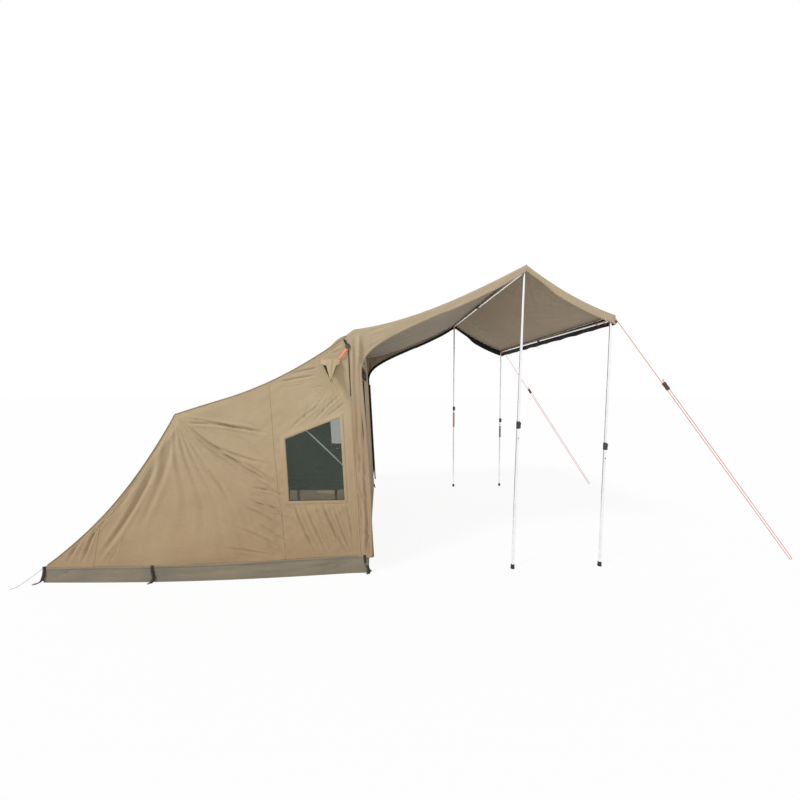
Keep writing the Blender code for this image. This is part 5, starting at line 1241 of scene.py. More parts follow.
net = cut_out(ROOF_EDGE, spacing=0.022)
made = cloth("roof_canvas", net, roof_shape, 1, [canvas, canvas_in])
swing(made)
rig.replaces(made, "roof_panel")
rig.slot(made, "canvas")
sheet(made, net, "stretched", ["roof_arm_right", "roof_arm_left", "mid_roof_bar"])
sides = [(float(wall_y(*rear_place(s))) - 0.0005, s) for s in np.linspace(0.002, REAR_CUT - 0.001, 40)]
net = cut_out([(-y, s) for y, s in sides[::-1]] + sides, spacing=0.022)
made = cloth("rear_wall_canvas", net, rear_shape, -1, [canvas])
swing(made)
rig.replaces(made, "rear_wall")
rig.slot(made, "canvas")
sheet(made, net, "stretched", ["rear_ridge_bar", "tub_wall_rear"])
seams = [band(along((0.46, -1.197), (0.46, 1.197)), 0.013, roof_shape, 1),
         band(along((REAR_RIDGE[0] + 0.007, -1.197), (REAR_RIDGE[0] + 0.007, 1.197)), 0.012, roof_shape, 1),
         band(along((1.128, -1.197), (1.128, 1.197)), 0.020, roof_shape, 1)]
for y in (-0.79, 0.79):
    seams.append(band(along((y, 0.010), (y * 0.98, REAR_CUT - 0.006)), 0.012, rear_shape, -1))
seams.append(band(along((-1.195, 0.012), (1.195, 0.012)), 0.016, rear_shape, -1))
made = joined("roof_and_rear_seams", seams, [canvas])
swing(made)
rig.slot(made, "canvas")
stitched = np.linspace(-1.195, 1.195, 200)
lines = [lay(roof_shape, [x] * 200, stitched, 0.0011, 1)[0]
         for x in (0.4558, 0.4642, -0.2415, -0.2340, 1.121, 1.135)]
stitched = np.linspace(0.010, REAR_CUT - 0.006, 200)
lines += [lay(rear_shape, np.linspace(y, y * 0.98, 200) + half, stitched, 0.0011, -1)[0]
          for y in (-0.79, 0.79) for half in (-0.0038, 0.0038)]
made = row_of("roof_and_rear_stitches", lines, thread)
swing(made)
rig.slot(made, "canvas")
piping = []
for side in SIDES.values():
    edge = np.array([(x, z) for x, z in roof_line] + [(x, z) for x, z in rear_line[1:-1]])
    fine = [Vector((x, side * (float(wall_y(x, z)) + 0.0008), z + 0.0002)) for x, z in edge]
    points, faces, corners = tube(smooth_route(fine, 2), 0.0026, 6)
    piping.append((points, faces, corners))
made = joined("roof_edge_piping", piping, [canvas])
swing(made)
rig.slot(made, "canvas")


# Windows. Fine grey-green netting sewn behind each window's frame, and the canvas window flap rolled
# up on the sill inside and held by two black webbing ties.

NET_DARK, NET_PALE, NET_COVER = (0.098, 0.126, 0.104), (0.118, 0.146, 0.122), 0.29
mesh_skin = principled("window netting", NET_DARK, 0.85)
mesh_skin.node_tree.nodes["Principled BSDF"].inputs["Alpha"].default_value = NET_COVER
weave_on(mesh_skin, 1100.0, 0.25, 0.7, 0.0004)
dyed(mesh_skin, NET_DARK, NET_PALE, 0.15)
# The trim canvas darkens from the valances' height down over the wings: painted shade.
trim_canvas = fabric("awning trim canvas", (0.463, 0.365, 0.240), (0.507, 0.405, 0.276), wrinkle=0.9, dust_and_shade=1.05,
                     clean=1.98, dust_and_shade_below=1.15)


ROLL_LENGTH, ROLL_OUT, ROLL_HEIGHT = 0.437, 1.1886, 0.6425
ROLL_TIES = (0.16, 0.84)


def window_shape(side):
    """The netting's outer face at (x, z), a little slack inside its frame."""
    def shape(x, z):
        held = near_edge(x, z, window_outline(0.004), 0.10)
        out = HALF_WIDTH - 0.0022 - 0.004 * held - 0.0012 * held * drift(x, z, 0.3, 61)
        return np.column_stack([x, side * out, z])
    return shape


def flattened(angle, radius, reach, ends):
    """A place as (out, up) on a circle that is drawn out upright."""
    rise = math.sin(angle)
    return radius * math.cos(angle), math.copysign(reach, rise) * min(1, abs(rise) * ends) + radius * rise


def roll_section(turns, tall, thick, gap):
    """A flattened spiral as (out, up), wound inwards from the outside."""
    line = []
    for i in range(int(turns * 26) + 1):
        angle = 2 * math.pi * i / 26 - math.pi / 2
        line.append(flattened(angle, thick - gap * i / 26, tall - thick, 1.6))
    return np.array(line)


for name, side in SIDES.items():
    net = cut_out(window_outline(0.018), spacing=0.02)
    made = cloth("window_net_%s_mesh" % name, net, window_shape(side), -side, [mesh_skin], thickness=0.0006)
    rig.ride(made, "tent_shell")
    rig.replaces(made, "window_net_" + name)
    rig.slot(made, "netting")
    sheet(made, net, "stretched", ["side_wall_%s_canvas" % name])
    spiral = roll_section(2.6, 0.0415, 0.0064, 0.0019)
    ring = np.concatenate([spiral, beside(spiral, 0.0009)[::-1]])
    steps = np.linspace(0, 1, 40)
    front = door_x(WINDOW_SILL) - WINDOW_SETBACK
    rng = np.random.default_rng(7)
    wobble = np.convolve(rng.normal(0, 1, 60), np.ones(9) / 9, "same")[10:50]
    points, corners, faces = [], [], []
    run = run_of(spiral)
    across = np.concatenate([run, run[::-1]])
    for i, s in enumerate(steps):
        squeeze = 1 - 0.16 * sum(math.exp(-((s - t) / 0.035) ** 2) for t in ROLL_TIES)
        for a, b in ring:
            points.append((front - ROLL_LENGTH * s, side * (ROLL_OUT + a * squeeze),
                           ROLL_HEIGHT + (b + 0.0006 * wobble[i]) * squeeze))
    count = len(ring)
    for i in range(len(steps) - 1):
        for k in range(count):
            m = (k + 1) % count
            quad = [i * count + k, i * count + m, (i + 1) * count + m, (i + 1) * count + k]
            near, far = ROLL_LENGTH * steps[i], ROLL_LENGTH * steps[i + 1]
            spots = [(near, across[k]), (near, across[m]), (far, across[m]), (far, across[k])]
            faces.append(quad if side > 0 else quad[::-1])
            corners += spots if side > 0 else spots[::-1]
    for i, order in ((0, -side), (len(steps) - 1, side)):
        for k in range(len(spiral) - 1):
            quad = [i * count + k, i * count + k + 1, i * count + count - 2 - k, i * count + count - 1 - k]
            faces.append(quad if order > 0 else quad[::-1])
            corners += [(0.0, 0.0)] * 4
    made = piece("window_flap_%s_roll" % name, points, faces, [trim_canvas], corners=corners)
    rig.ride(made, "tent_shell")
    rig.replaces(made, "window_flap_" + name)
    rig.slot(made, "canvas_trim")
    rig.sheet(made, flat=(0.437, float(run[-1])), held="folded", rests_on=["window_net_%s_mesh" % name])
    loops = []
    for t in ROLL_TIES:
        hoop = np.array([flattened(2 * math.pi * i / 24, 0.0068, 0.0315, 2) for i in range(24)]) * (0.90, 0.92)
        points, faces = [], []
        for x in (-0.010, 0.010):
            for loop in (hoop, hoop * (1.10, 1.035)):
                points += [(front - ROLL_LENGTH * t + x, side * (ROLL_OUT + a), ROLL_HEIGHT + b)
                           for a, b in loop]
        n = len(hoop)
        for k in range(n):
            m = (k + 1) % n
            for quad in ([n + k, n + m, 3 * n + m, 3 * n + k], [m, k, 2 * n + k, 2 * n + m],
                         [k, m, n + m, n + k], [2 * n + m, 2 * n + k, 3 * n + k, 3 * n + m]):
                faces.append(quad if side < 0 else quad[::-1])
        loops.append((points, faces, [(0.0, 0.0)] * (4 * len(faces))))
    made = joined("window_flap_%s_ties" % name, loops, [webbing])
    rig.ride(made, "tent_shell")


# Front wall and door. The doorway has rounded top corners. Its net door has a canvas border and turns
# on the left side seam, with a coil zip round the other three sides.

DOOR_HALF, DOOR_CORNER, DOOR_LOW, DOOR_HIGH = 0.65, 0.25, 0.17, 1.78


def door_outline(lap):
    """The doorway's outline as (y, z), moved out by a lap."""
    half, radius = DOOR_HALF + lap, DOOR_CORNER + lap
    low, high = DOOR_LOW - lap, DOOR_HIGH + lap
    outline = [(-half, low), (half, low)]
    for centre, start in ((half - radius, 0), (radius - half, 90)):
        for i in range(13):
            angle = math.radians(start + 7.5 * i)
            outline.append((centre + radius * math.cos(angle), high - radius + radius * math.sin(angle)))
    return outline


FRONT_EDGE = [(-1.1995, 0.1475), (1.1995, 0.1475), (1.1995, 1.9605), (-1.1995, 1.9605)]


def front_shape(y, z):
    """The front wall's outer face at (y, z)."""
    held = near_edge(y, z, FRONT_EDGE, 0.08) * near_edge(y, z, door_outline(0.02), 0.05)
    soft = 0.0022 * drift(y, z, 0.5, 71) + 0.001 * drift(y, z, 0.16, 72)
    for side in (-1, 1):
        soft = soft + fan(y * side, z, (0.60, 0.17), -60.0, 60.0, 6.0, 0.002, rise=0.15, reach=0.3)
        soft = soft + fan(y * side, z, (1.2, 1.96), -170.0, -95.0, 6.0, 0.002, rise=0.25, reach=0.3)
    return np.column_stack([door_x(z) + soft * held, y, z])


def leaf_shape(lift, loose=0.0):
    """A layer of the door at (y, z), at a height over the wall's plane and loose in its middle."""
    def shape(y, z):
        held = near_edge(y, z, door_outline(-0.05), 0.20)
        return np.column_stack([door_x(z) + lift + loose * held * (0.6 + drift(y, z, 0.6, 73)), y, z])
    return shape


net = cut_out(FRONT_EDGE, [door_outline(0.0)], spacing=0.024)
made = cloth("front_wall_canvas", net, front_shape, 1, [canvas, canvas_in])
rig.ride(made, "tent_shell")
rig.replaces(made, "front_wall")
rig.slot(made, "canvas")
sheet(made, net, "stretched", ["tub_wall_front"])
net = cut_out(door_outline(-0.044), spacing=0.035)
made = cloth("door_net", net, leaf_shape(0.0014, 0.004), 1, [mesh_skin], thickness=0.0006)
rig.ride(made, "door")
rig.replaces(made, "door_panel")
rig.slot(made, "netting")
sheet(made, net, "stretched", ["door_border"])
net = cut_out(door_outline(0.013), [door_outline(-0.052)], spacing=0.022)
made = cloth("door_border", net, leaf_shape(0.0023), 1, [canvas, canvas_in], thickness=0.0008)
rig.ride(made, "door")
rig.slot(made, "canvas")
sheet(made, net, "stretched", ["front_wall_canvas"], strip=0.065)
cover = [(-0.606, 0.214), (0.606, 0.214), (0.606, 1.53), (0.604, 1.565), (0.594, 1.60),
         (0.20, 1.594), (-0.20, 1.592), (-0.594, 1.60), (-0.604, 1.565), (-0.606, 1.53)]
net = cut_out(cover, spacing=0.026)
made = cloth("door_cover", net, leaf_shape(0.0036, 0.004), 1, [canvas, canvas_in], thickness=0.0009)
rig.ride(made, "door")
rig.slot(made, "canvas")
sheet(made, net, "stretched", ["door_net"])
rail = band(along((-0.600, 0.72), (0.600, 0.72)), 0.045, leaf_shape(0.0036, 0.004), 1)
made = joined("door_middle_rail", [rail], [canvas])
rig.ride(made, "door")
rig.slot(made, "canvas")
zip_tape = fabric("zip tape", (0.022, 0.022, 0.023), (0.03, 0.03, 0.03), roughness=0.7, threads=1500.0,
                  wrinkle=0.1, dust_and_shade=0.1)
coil = uneven(principled("zip coil", (0.03, 0.03, 0.032), 0.35), 900.0, 2.0, 0.25, 0.5)


def zip_path(lap):
    """Three sides of the doorway, from the hinge's foot round to its head."""
    low = DOOR_LOW - lap
    return along((0.60, low), (-DOOR_HALF - lap, low), *door_outline(lap)[-1:0:-1][:25], step=0.03)


for body, lap, label in (("tent_shell", 0.0185, "wall"), ("door", 0.0150, "leaf")):
    path = np.array(zip_path(lap))
    line = lay(leaf_shape(0.0030), path[:, 0], path[:, 1], 0.0004, 1)[0]
    made = row_of("door_zip_%s_teeth" % label, [line], coil, pitch=0.0030, length=0.0018, width=0.0030)
    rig.ride(made, body)
path = zip_path(0.026)
made = joined("door_zip_tape", [band(path, 0.015, front_shape, 1, 0.0012, -0.0002)], [zip_tape])
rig.ride(made, "tent_shell")
lines = []
for lap in (0.008, -0.047):
    path = np.array(along(*door_outline(lap), door_outline(lap)[0]))
    lines.append(lay(leaf_shape(0.0023), path[:, 0], path[:, 1], 0.0002, 1)[0])
made = row_of("door_stitches", lines, thread)
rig.ride(made, "door")
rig.slot(made, "canvas")


# Vent hoods. A canvas shield over each triangular vent, stiffened by its top band and its central
# tongue, propped open on the hinge along its top. Netting fills the vent behind it, opaque and painted
# near black brown for the shade inside the vent.

VENT_TOP = 1.735
HOOD_OPEN = math.radians(25.0)
VENT_BEHIND = [(VENT_X - 0.066, 1.687), (VENT_X + 0.056, 1.687), (VENT_X + 0.002, 1.542)]
HOOD_HALF = 0.076
HOOD_EDGE = [(VENT_X - HOOD_HALF, VENT_TOP), (VENT_X + HOOD_HALF, VENT_TOP), (VENT_X + HOOD_HALF, 1.686),
             (VENT_X + 0.050, 1.666), (VENT_X + 0.020, 1.545), (VENT_X + 0.008, 1.541), (VENT_X - 0.028, 1.664),
             (VENT_X - HOOD_HALF, 1.682)]


def hood_shape(side):
    """The hood's outer face, by the place (x, z) it would have if it hung straight down."""
    def shape(x, z):
        across = (x - VENT_X) / HOOD_HALF
        down = VENT_TOP - z
        bulge = 0.011 * np.clip(1 - across ** 2, 0, 1) * smooth(down / 0.03)
        out = 0.0034 + bulge + 0.0022 * (1 + drift(x, z * 0.6, 0.045, 81)) * smooth(down / 0.03)
        away = HALF_WIDTH + 0.0003 + out * math.cos(HOOD_OPEN) + down * math.sin(HOOD_OPEN)
        up = VENT_TOP - down * math.cos(HOOD_OPEN) + out * math.sin(HOOD_OPEN)
        return np.column_stack([x, side * away, up])
    return shape


def behind_wall(side):
    """The vent's netting at (x, z), flat against the wall's inner face."""
    return lambda x, z: np.column_stack([x, side * (HALF_WIDTH - 0.0018) + 0 * x, z])


# The vent netting is opaque, and its near black brown is painted shade from inside the vent.
vent_net_painted_shade = fabric("vent netting", (0.075, 0.060, 0.042), (0.095, 0.078, 0.056), roughness=0.85, threads=1100.0,
                   wrinkle=0.1, dust_and_shade=0.1)
for name, side in SIDES.items():
    shape = hood_shape(side)
    net = cut_out(HOOD_EDGE, spacing=0.008)
    made = cloth("vent_hood_%s_canvas" % name, net, shape, -side, [canvas, canvas_in])
    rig.ride(made, "vent_hood_" + name)
    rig.replaces(made, "vent_hood_" + name)
    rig.slot(made, "canvas")
    sheet(made, net, "stretched", ["side_wall_%s_canvas" % name])
    top_band = along((VENT_X - 0.074, VENT_TOP - 0.006), (VENT_X + 0.074, VENT_TOP - 0.006), step=0.008)
    tongue = along((VENT_X + 0.010, VENT_TOP - 0.014), (VENT_X + 0.010, 1.556), step=0.008)
    hems = [band(top_band, 0.010, shape, -side), band(tongue, 0.008, shape, -side)]
    made = joined("vent_hood_%s_hems" % name, hems, [canvas])
    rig.ride(made, "vent_hood_" + name)
    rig.slot(made, "canvas")
    net = cut_out(VENT_BEHIND, spacing=0.02)
    made = cloth("vent_net_%s_mesh" % name, net, behind_wall(side), -side, [vent_net_painted_shade], thickness=0.0006)
    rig.ride(made, "tent_shell")
    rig.slot(made, "netting")
    sheet(made, net, "stretched", ["side_wall_%s_canvas" % name])
    border = band(along(*VENT_BEHIND, VENT_BEHIND[0], step=0.01), 0.010, side_wall(side), -side)
    made = joined("vent_%s_border" % name, [border], [canvas])
    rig.ride(made, "tent_shell")
    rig.slot(made, "canvas")


# Awning. Sand canvas, seamed along the ridge legs' line, with a darker underside: partly its coat and partly
# painted shade. Under the front slope the underside is painted lighter, for light that comes through the
# cloth. Its sides hang as valances that widen into wings over the cabin's front corners, with black tape inside.

awning_out = fabric("awning canvas", (0.50, 0.388, 0.248), (0.54, 0.43, 0.29), dust_and_shade=0.1)
# The underside is darker than the outer canvas: partly its coat, partly painted shade.
awning_under = fabric("awning underside", (0.30, 0.245, 0.18), (0.335, 0.28, 0.208), roughness=0.72,
                      wrinkle=0.7, dust_and_shade=0.05, sheen=0.05)
# A lighter copy of the underside for the front slope: painted light that comes through the cloth.
awning_front_under_painted_light = fabric("awning underside ahead", (0.365, 0.288, 0.204), (0.405, 0.322, 0.23), roughness=0.72,
                    wrinkle=0.7, dust_and_shade=0.05, sheen=0.05)
black_lining = fabric("black lining", (0.014, 0.013, 0.012), (0.02, 0.02, 0.019), roughness=0.8, threads=900.0,
                      wrinkle=0.3, dust_and_shade=0.05)
RIDGE_AHEAD, RIDGE_HEIGHT, RIDGE_SKEW, RIDGE_FALL = 1.2495, 2.485, 0.051, 0.020
SLOPE_FALL = 0.395
BACK_CUT, FRONT_CUT, AWNING_CUT = 1.462, 0.853, 1.214
WING_AHEAD, WING_HEAD = 0.62, 1.60
WING_LAP = {"left": 0.020, "right": 0.040}
WING_SWELL = {"left": 0.000, "right": 0.020}
WING_FOOT = {"left": -0.024, "right": 0.004}
VALANCE = 0.080
VALANCE_DEEP = {"left": 0.085, "right": 0.070}


def flap_y(x, z):
    """Half the width inside the awning's side, which lies on the cabin and then clears the legs."""
    return wall_y(np.minimum(x, DOOR_X), z) + 0.0006 + 0.0215 * smooth((x - DOOR_X - 0.10) / 1.0)


def back_point(share, v):
    """A place on the slope behind the ridge, by its shares of the way up and of half the width."""
    low = -RIDGE_SETBACK + 0.0003
    x = DOOR_X + low + (RIDGE_AHEAD - v * RIDGE_SKEW / 2 - low) * share
    bow = 4 * share * (1 - share)
    sag = 0.066 * bow * (1 + 0.25 * (1 - 2 * share)) + 0.020 * bow * (1 - v ** 2)
    rise = (RIDGE_HEIGHT - RIDGE_FALL / 2 * v - FRONT_HEIGHT) * share
    return x, v * (flap_y(x, FRONT_HEIGHT) + 0.002), FRONT_HEIGHT + rise - sag


def front_point(share, v):
    """A place on the slope ahead of the ridge, by its shares of the way down and of half the width."""
    x = DOOR_X + RIDGE_AHEAD - v * RIDGE_SKEW / 2 + (EDGE_AHEAD - RIDGE_AHEAD - v * 0.002) * share
    sag = (0.058 - 0.020 * v ** 2) * (4 * share * (1 - share))
    z = RIDGE_HEIGHT - RIDGE_FALL / 2 * v - SLOPE_FALL * share - sag
    return x, v * (flap_y(x, FRONT_HEIGHT) + 0.002), z


def back_slope(u, v):
    """The slope behind the ridge, by its place in the flat cloth."""
    share, v_share = u / BACK_CUT, v / AWNING_CUT
    x, y, z = back_point(share, v_share)
    held = smooth(share / 0.06) * smooth((1 - share) / 0.05) * smooth((1 - np.abs(v_share)) / 0.07)
    soft = 0.006 * drift(u * 0.6, v, 0.7, 91) + 0.0025 * drift(u * 0.35, v, 0.22, 92)
    for side in (-1, 1):
        soft = soft + fan(u, v * side, (BACK_CUT, AWNING_CUT), -178.0, -94.0, 11.0, 0.007, rise=0.30, reach=0.5)
        soft = soft + fan(u, v * side, (0.0, AWNING_CUT), -86.0, -4.0, 9.0, 0.005, rise=0.30, reach=0.4)
    return np.column_stack([x, y, z + soft * held])


def front_slope(u, v):
    """The slope ahead of the ridge, by its place in the flat cloth."""
    share, v_share = u / FRONT_CUT, v / AWNING_CUT
    x, y, z = front_point(share, v_share)
    held = smooth(share / 0.08) * smooth((1 - share) / 0.08) * smooth((1 - np.abs(v_share)) / 0.07)
    soft = 0.004 * drift(u, v * 0.7, 0.6, 93) + 0.0015 * drift(u * 0.5, v, 0.2, 94)
    for side in (-1, 1):
        soft = soft + fan(u, v * side, (0.0, AWNING_CUT), -86.0, -4.0, 9.0, 0.005, rise=0.25, reach=0.4)
        soft = soft + fan(u, v * side, (FRONT_CUT, AWNING_CUT), -176.0, -94.0, 9.0, 0.006, rise=0.25, reach=0.4)
    return np.column_stack([x, y, z + soft * held])


def wing_curve(lap):
    """The curve from the valance's foot down into the wing's free edge, as (x, z)."""
    def top_at(ahead):
        return back_point((ahead + RIDGE_SETBACK) / (RIDGE_AHEAD + RIDGE_SETBACK), -1.0)[2]

    start = np.array((DOOR_X + WING_AHEAD, top_at(WING_AHEAD) - 0.075))
    end = np.array((door_x(WING_HEAD) + lap, WING_HEAD))
    slope = (top_at(0.67) - top_at(WING_AHEAD)) / 0.05
    rise = start[1] - slope * (start[0] - end[0]) - end[1]
    corner = np.array((end[0] - DOOR_LEAN * rise, end[1] + rise))
    first, second = start + (corner - start) * 0.85, end + (corner - end) * 0.85
    t = np.linspace(0, 1, 25)[:, None]
    return start * (1 - t) ** 3 + first * 3 * (1 - t) ** 2 * t + second * 3 * (1 - t) * t ** 2 + end * t ** 3


def wing_edge(name):
    """The wing's free edge from its curve down, which billows over the door's side and turns back in."""
    swell, foot = WING_SWELL[name], WING_FOOT[name]
    stops = ((WING_HEAD, 0.0), (1.30, 0.45 * swell), (1.00, 0.9 * swell), (0.72, swell), (0.42, 0.7 * swell),
             (0.28, 0.5 * swell + 0.2 * foot), (0.125, foot))
    return [(door_x(z) + WING_LAP[name] + out, z) for z, out in stops]


def valance_drop(ahead, name):
    """How far a side valance hangs below the awning's edge."""
    if ahead < RIDGE_AHEAD:
        return 0.060 + 0.015 * float(smooth((RIDGE_AHEAD - ahead) / 0.20))
    return 0.048 + (VALANCE_DEEP[name] - 0.048) * float(smooth((ahead - RIDGE_AHEAD - 0.14) / 0.16))


def flap_lines(name, side):
    """The top line of a side flap, its free edge, and its line over the cabin's side, as (x, z)."""
    bx, _, bz = back_point(np.linspace(0, 1, 50), side)
    fx, _, fz = front_point(np.linspace(0.002, 1, 30), side)
    end = DOOR_X + EDGE_AHEAD - side * EDGE_SKEW / 2 - 0.0026
    kept = fx < end - 0.004
    top = [(x, z - 0.0023) for x, z in zip(bx, bz)] + [(x, z - 0.0023) for x, z in zip(fx[kept], fz[kept])]
    top.append((end, float(np.interp(end, fx, fz)) - 0.0023))
    free = [(end, EDGE_HEIGHT - side * EDGE_FALL / 2 - VALANCE)]
    free += [(x, z - valance_drop(x - DOOR_X, name)) for x, z in zip(fx[kept][::-1], fz[kept][::-1])]
    free += [(x, z - valance_drop(x - DOOR_X, name)) for x, z in zip(bx[::-1], bz[::-1]) if x - DOOR_X > 0.65]
    free += [tuple(p) for p in wing_curve(WING_LAP[name])]
    free += wing_edge(name)[1:]
    back = [(door_x(0.125) - 0.065, 0.125), (DOOR_X - DOOR_LEAN * 1.867 - 0.065, 1.867)]
    back.append((back[1][0], float(roof_z(DOOR_X - back[1][0])) - 0.0023))
    return top, free, back


STORM_LIFT = 0.0092
# Folds and ridges of the side flaps: start and end ahead of the door's foot, width and depth.
FLAP_FOLDS = [((0.02, 1.83), (0.30, 1.955), 0.012, 0.007), ((0.10, 1.86), (0.62, 2.06), 0.016, 0.006),
              ((-0.08, 1.70), (0.05, 1.86), 0.014, 0.006), ((-0.05, 1.93), (0.25, 2.03), 0.010, 0.005),
              ((0.62, 2.23), (0.95, 2.345), 0.012, 0.004)]
FLAP_RIDGES = [((-0.160, 1.92), (-0.136, 1.10), 0.009, 0.008), ((-0.130, 1.92), (-0.104, 1.02), 0.010, 0.013),
               ((-0.076, 1.96), (-0.042, 0.98), 0.016, 0.024), ((-0.128, 1.12), (-0.100, 0.16), 0.012, 0.012),
               ((-0.088, 1.05), (-0.072, 0.18), 0.012, 0.011), ((-0.044, 1.10), (-0.026, 0.15), 0.015, 0.019),
               ((-0.012, 1.50), (-0.002, 0.80), 0.009, 0.010), ((0.004, 0.85), (0.012, 0.28), 0.009, 0.009)]


def wing_creases():
    """Small slanting creases of the wings below their zips' heads."""
    rng = np.random.default_rng(29)
    made = []
    for _ in range(30):
        x, z = rng.uniform(-0.125, 0.020), rng.uniform(0.19, 1.00)
        turn, reach = math.radians(rng.uniform(-82, -56)), rng.uniform(0.035, 0.10)
        step = (reach * math.cos(turn), reach * math.sin(turn))
        made.append(((x - step[0], z - step[1]), (x + step[0], z + step[1]),
                     rng.uniform(0.008, 0.012), rng.uniform(0.004, 0.009)))
    return made


def flap_shape(name, side, over_zip=True):
    """A side flap's outer face. The right wing's free edge passes over its zip as a storm flap."""
    top, free, back = flap_lines(name, side)
    outline = top + free + back
    zip_lap = WING_LAP[name] - 0.006
    covers = over_zip and name == "right"
    small = wing_creases()

    def shape(x, z):
        inland = np.maximum(smooth((zip_lap - x + door_x(z)) / 0.040), smooth((z - WING_HEAD) / 0.20))
        held = near_edge(x, z, outline, 0.045) * inland
        lying = x < DOOR_X + 0.02
        soft = 0.0045 * drift(x * 2.2, z * 0.7, 0.30, 101 + side) + 0.0012 * drift(x * 1.6, z, 0.10, 105 + side)
        for crease in FLAP_FOLDS:
            soft = soft - fold(x - DOOR_X, z, *crease)
        soft = np.where(lying, np.maximum(0.6 * soft, 0.0), soft)
        for start, end, width, depth in FLAP_RIDGES:
            way = (start[0] - end[0]) / (start[1] - end[1])
            off = x - DOOR_X - start[0] - (z - start[1]) * way - 0.004 * np.sin(z * 11 + start[0] * 90)
            run = smooth((start[1] - z) / 0.12) * smooth((z - end[1]) / 0.12)
            soft = soft + depth * run * np.exp(-(off / width) ** 2)
        for crease in small:
            soft = soft + fold(x - DOOR_X, z, *crease)
        soft = np.where(lying, np.maximum(soft, 0.0), soft) * held
        if covers:
            beyond = smooth((x - door_x(z) - 0.014) / 0.018)
            soft = soft + STORM_LIFT * beyond * smooth((1.62 - z) / 0.12) * smooth((z - 0.125) / 0.04)
        return np.column_stack([x, side * (flap_y(x, z) + 0.002 + soft), z])
    return shape, outline


# The back slope's underside is partly painted shade; the front slope's is painted lighter for light through the cloth.
for label, cut, shape, skin in (("back", BACK_CUT, back_slope, awning_under),
                                ("front", FRONT_CUT, front_slope, awning_front_under_painted_light)):
    net = cut_out([(0.0, -AWNING_CUT), (cut, -AWNING_CUT), (cut, AWNING_CUT), (0.0, AWNING_CUT)], spacing=0.022)
    made = cloth("awning_%s_slope_canvas" % label, net, shape, 1, [awning_out, skin])
    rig.ride(made, "tent_shell")
    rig.replaces(made, "awning_%s_slope" % label)
    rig.slot(made, "awning_canvas")
    sheet(made, net, "stretched", ["front_spreader_inner" if label == "front" else "ridge_spreader_inner"])
hems, linings, seams = [], [], []
for name, side in SIDES.items():
    shape, outline = flap_shape(name, side)
    top, free, back = flap_lines(name, side)
    net = cut_out(outline, spacing=0.0105)
    # The flaps' inner faces take the underside's colour, partly painted shade, and black lining ahead of the ridge.
    made = cloth("awning_side_%s_canvas" % name, net, shape, -side, [trim_canvas, awning_under])
    for face in made.data.polygons:
        middle = sum(made.data.vertices[i].co.x for i in face.vertices) / 3
        if face.material_index == 1 and middle > DOOR_X + RIDGE_AHEAD - 0.02:
            face.material_index = len(made.data.materials)
    made.data.materials.append(black_lining)
    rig.ride(made, "tent_shell")
    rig.replaces(made, "awning_side_" + name)
    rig.slot(made, "canvas_trim")
    sheet(made, net, "stretched", ["side_wall_%s_canvas" % name], strip=0.15)
    path = along(*free, step=0.01)
    hems.append(band(beside(path, -0.0095), 0.018, shape, -side, 0.0009))
    hems.append(band(beside(along(*back[:2], step=0.03), -0.008), 0.014, shape, -side, 0.0009))
    linings.append(band(beside(path, -0.0185), 0.036, shape, side, CLOTH + 0.0009, CLOTH - 0.0003))
    for inset in (0.004, 0.0155):
        at = beside(path, -inset)
        seams.append(lay(shape, at[:, 0], at[:, 1], 0.0010, -side)[0])
made = joined("awning_side_hems", hems, [trim_canvas])
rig.ride(made, "tent_shell")
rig.slot(made, "canvas_trim")
made = joined("awning_black_tape", linings, [black_lining])
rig.ride(made, "tent_shell")
EDGE_HALF = float(flap_y(DOOR_X + EDGE_AHEAD, FRONT_HEIGHT)) + 0.002


def edge_strip(y, z):
    """The front valance's outer face at (y, z)."""
    share = y / EDGE_HALF
    held = smooth((EDGE_HEIGHT - share * EDGE_FALL / 2 - 0.012 - z) / 0.04)
    soft = held * (0.004 * np.sin(y * 16.0 + 1.0) + 0.003 * drift(y, z, 0.25, 111))
    return np.column_stack([DOOR_X + EDGE_AHEAD - share * EDGE_SKEW / 2 + soft - 0.003 * held, y, z])


steps = 108
hem = []
for i in range(steps + 1):
    share = 1 - 2 * i / steps
    scallop = 0.006 * abs(math.sin(math.pi * 9 * i / steps))
    hem.append((EDGE_HALF * share, EDGE_HEIGHT - EDGE_FALL / 2 * share - VALANCE + scallop))
net = cut_out([(-EDGE_HALF, 2.0974), (EDGE_HALF, 2.0774)] + hem, spacing=0.016)
made = cloth("front_valance_canvas", net, edge_strip, 1, [trim_canvas, black_lining])
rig.ride(made, "tent_shell")
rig.replaces(made, "front_valance")
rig.slot(made, "canvas_trim")
sheet(made, net, "hung", ["awning_front_slope_canvas"])
made = joined("front_valance_hem", [band(beside(hem, -0.008), 0.012, edge_strip, 1, 0.0009)], [trim_canvas])
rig.ride(made, "tent_shell")
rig.slot(made, "canvas_trim")
for u, shape in ((0.012, front_slope), (FRONT_CUT - 0.012, front_slope),
                 (BACK_CUT - 0.012, back_slope), (0.014, back_slope)):
    seams.append(lay(shape, [u] * 220, np.linspace(-1.19, 1.19, 220), 0.0002, 1)[0])
made = row_of("awning_stitches", seams, thread)
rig.ride(made, "tent_shell")
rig.slot(made, "canvas_trim")


# Wing zips and the strap at the wing's head. A black coil zip edges each wing. A short black strip with
# teeth down its back is painted shadow, the dark line where the wing's back edge stands off the wall. An
# orange webbing strap and its black buckle pull the wing's head down to the cabin.

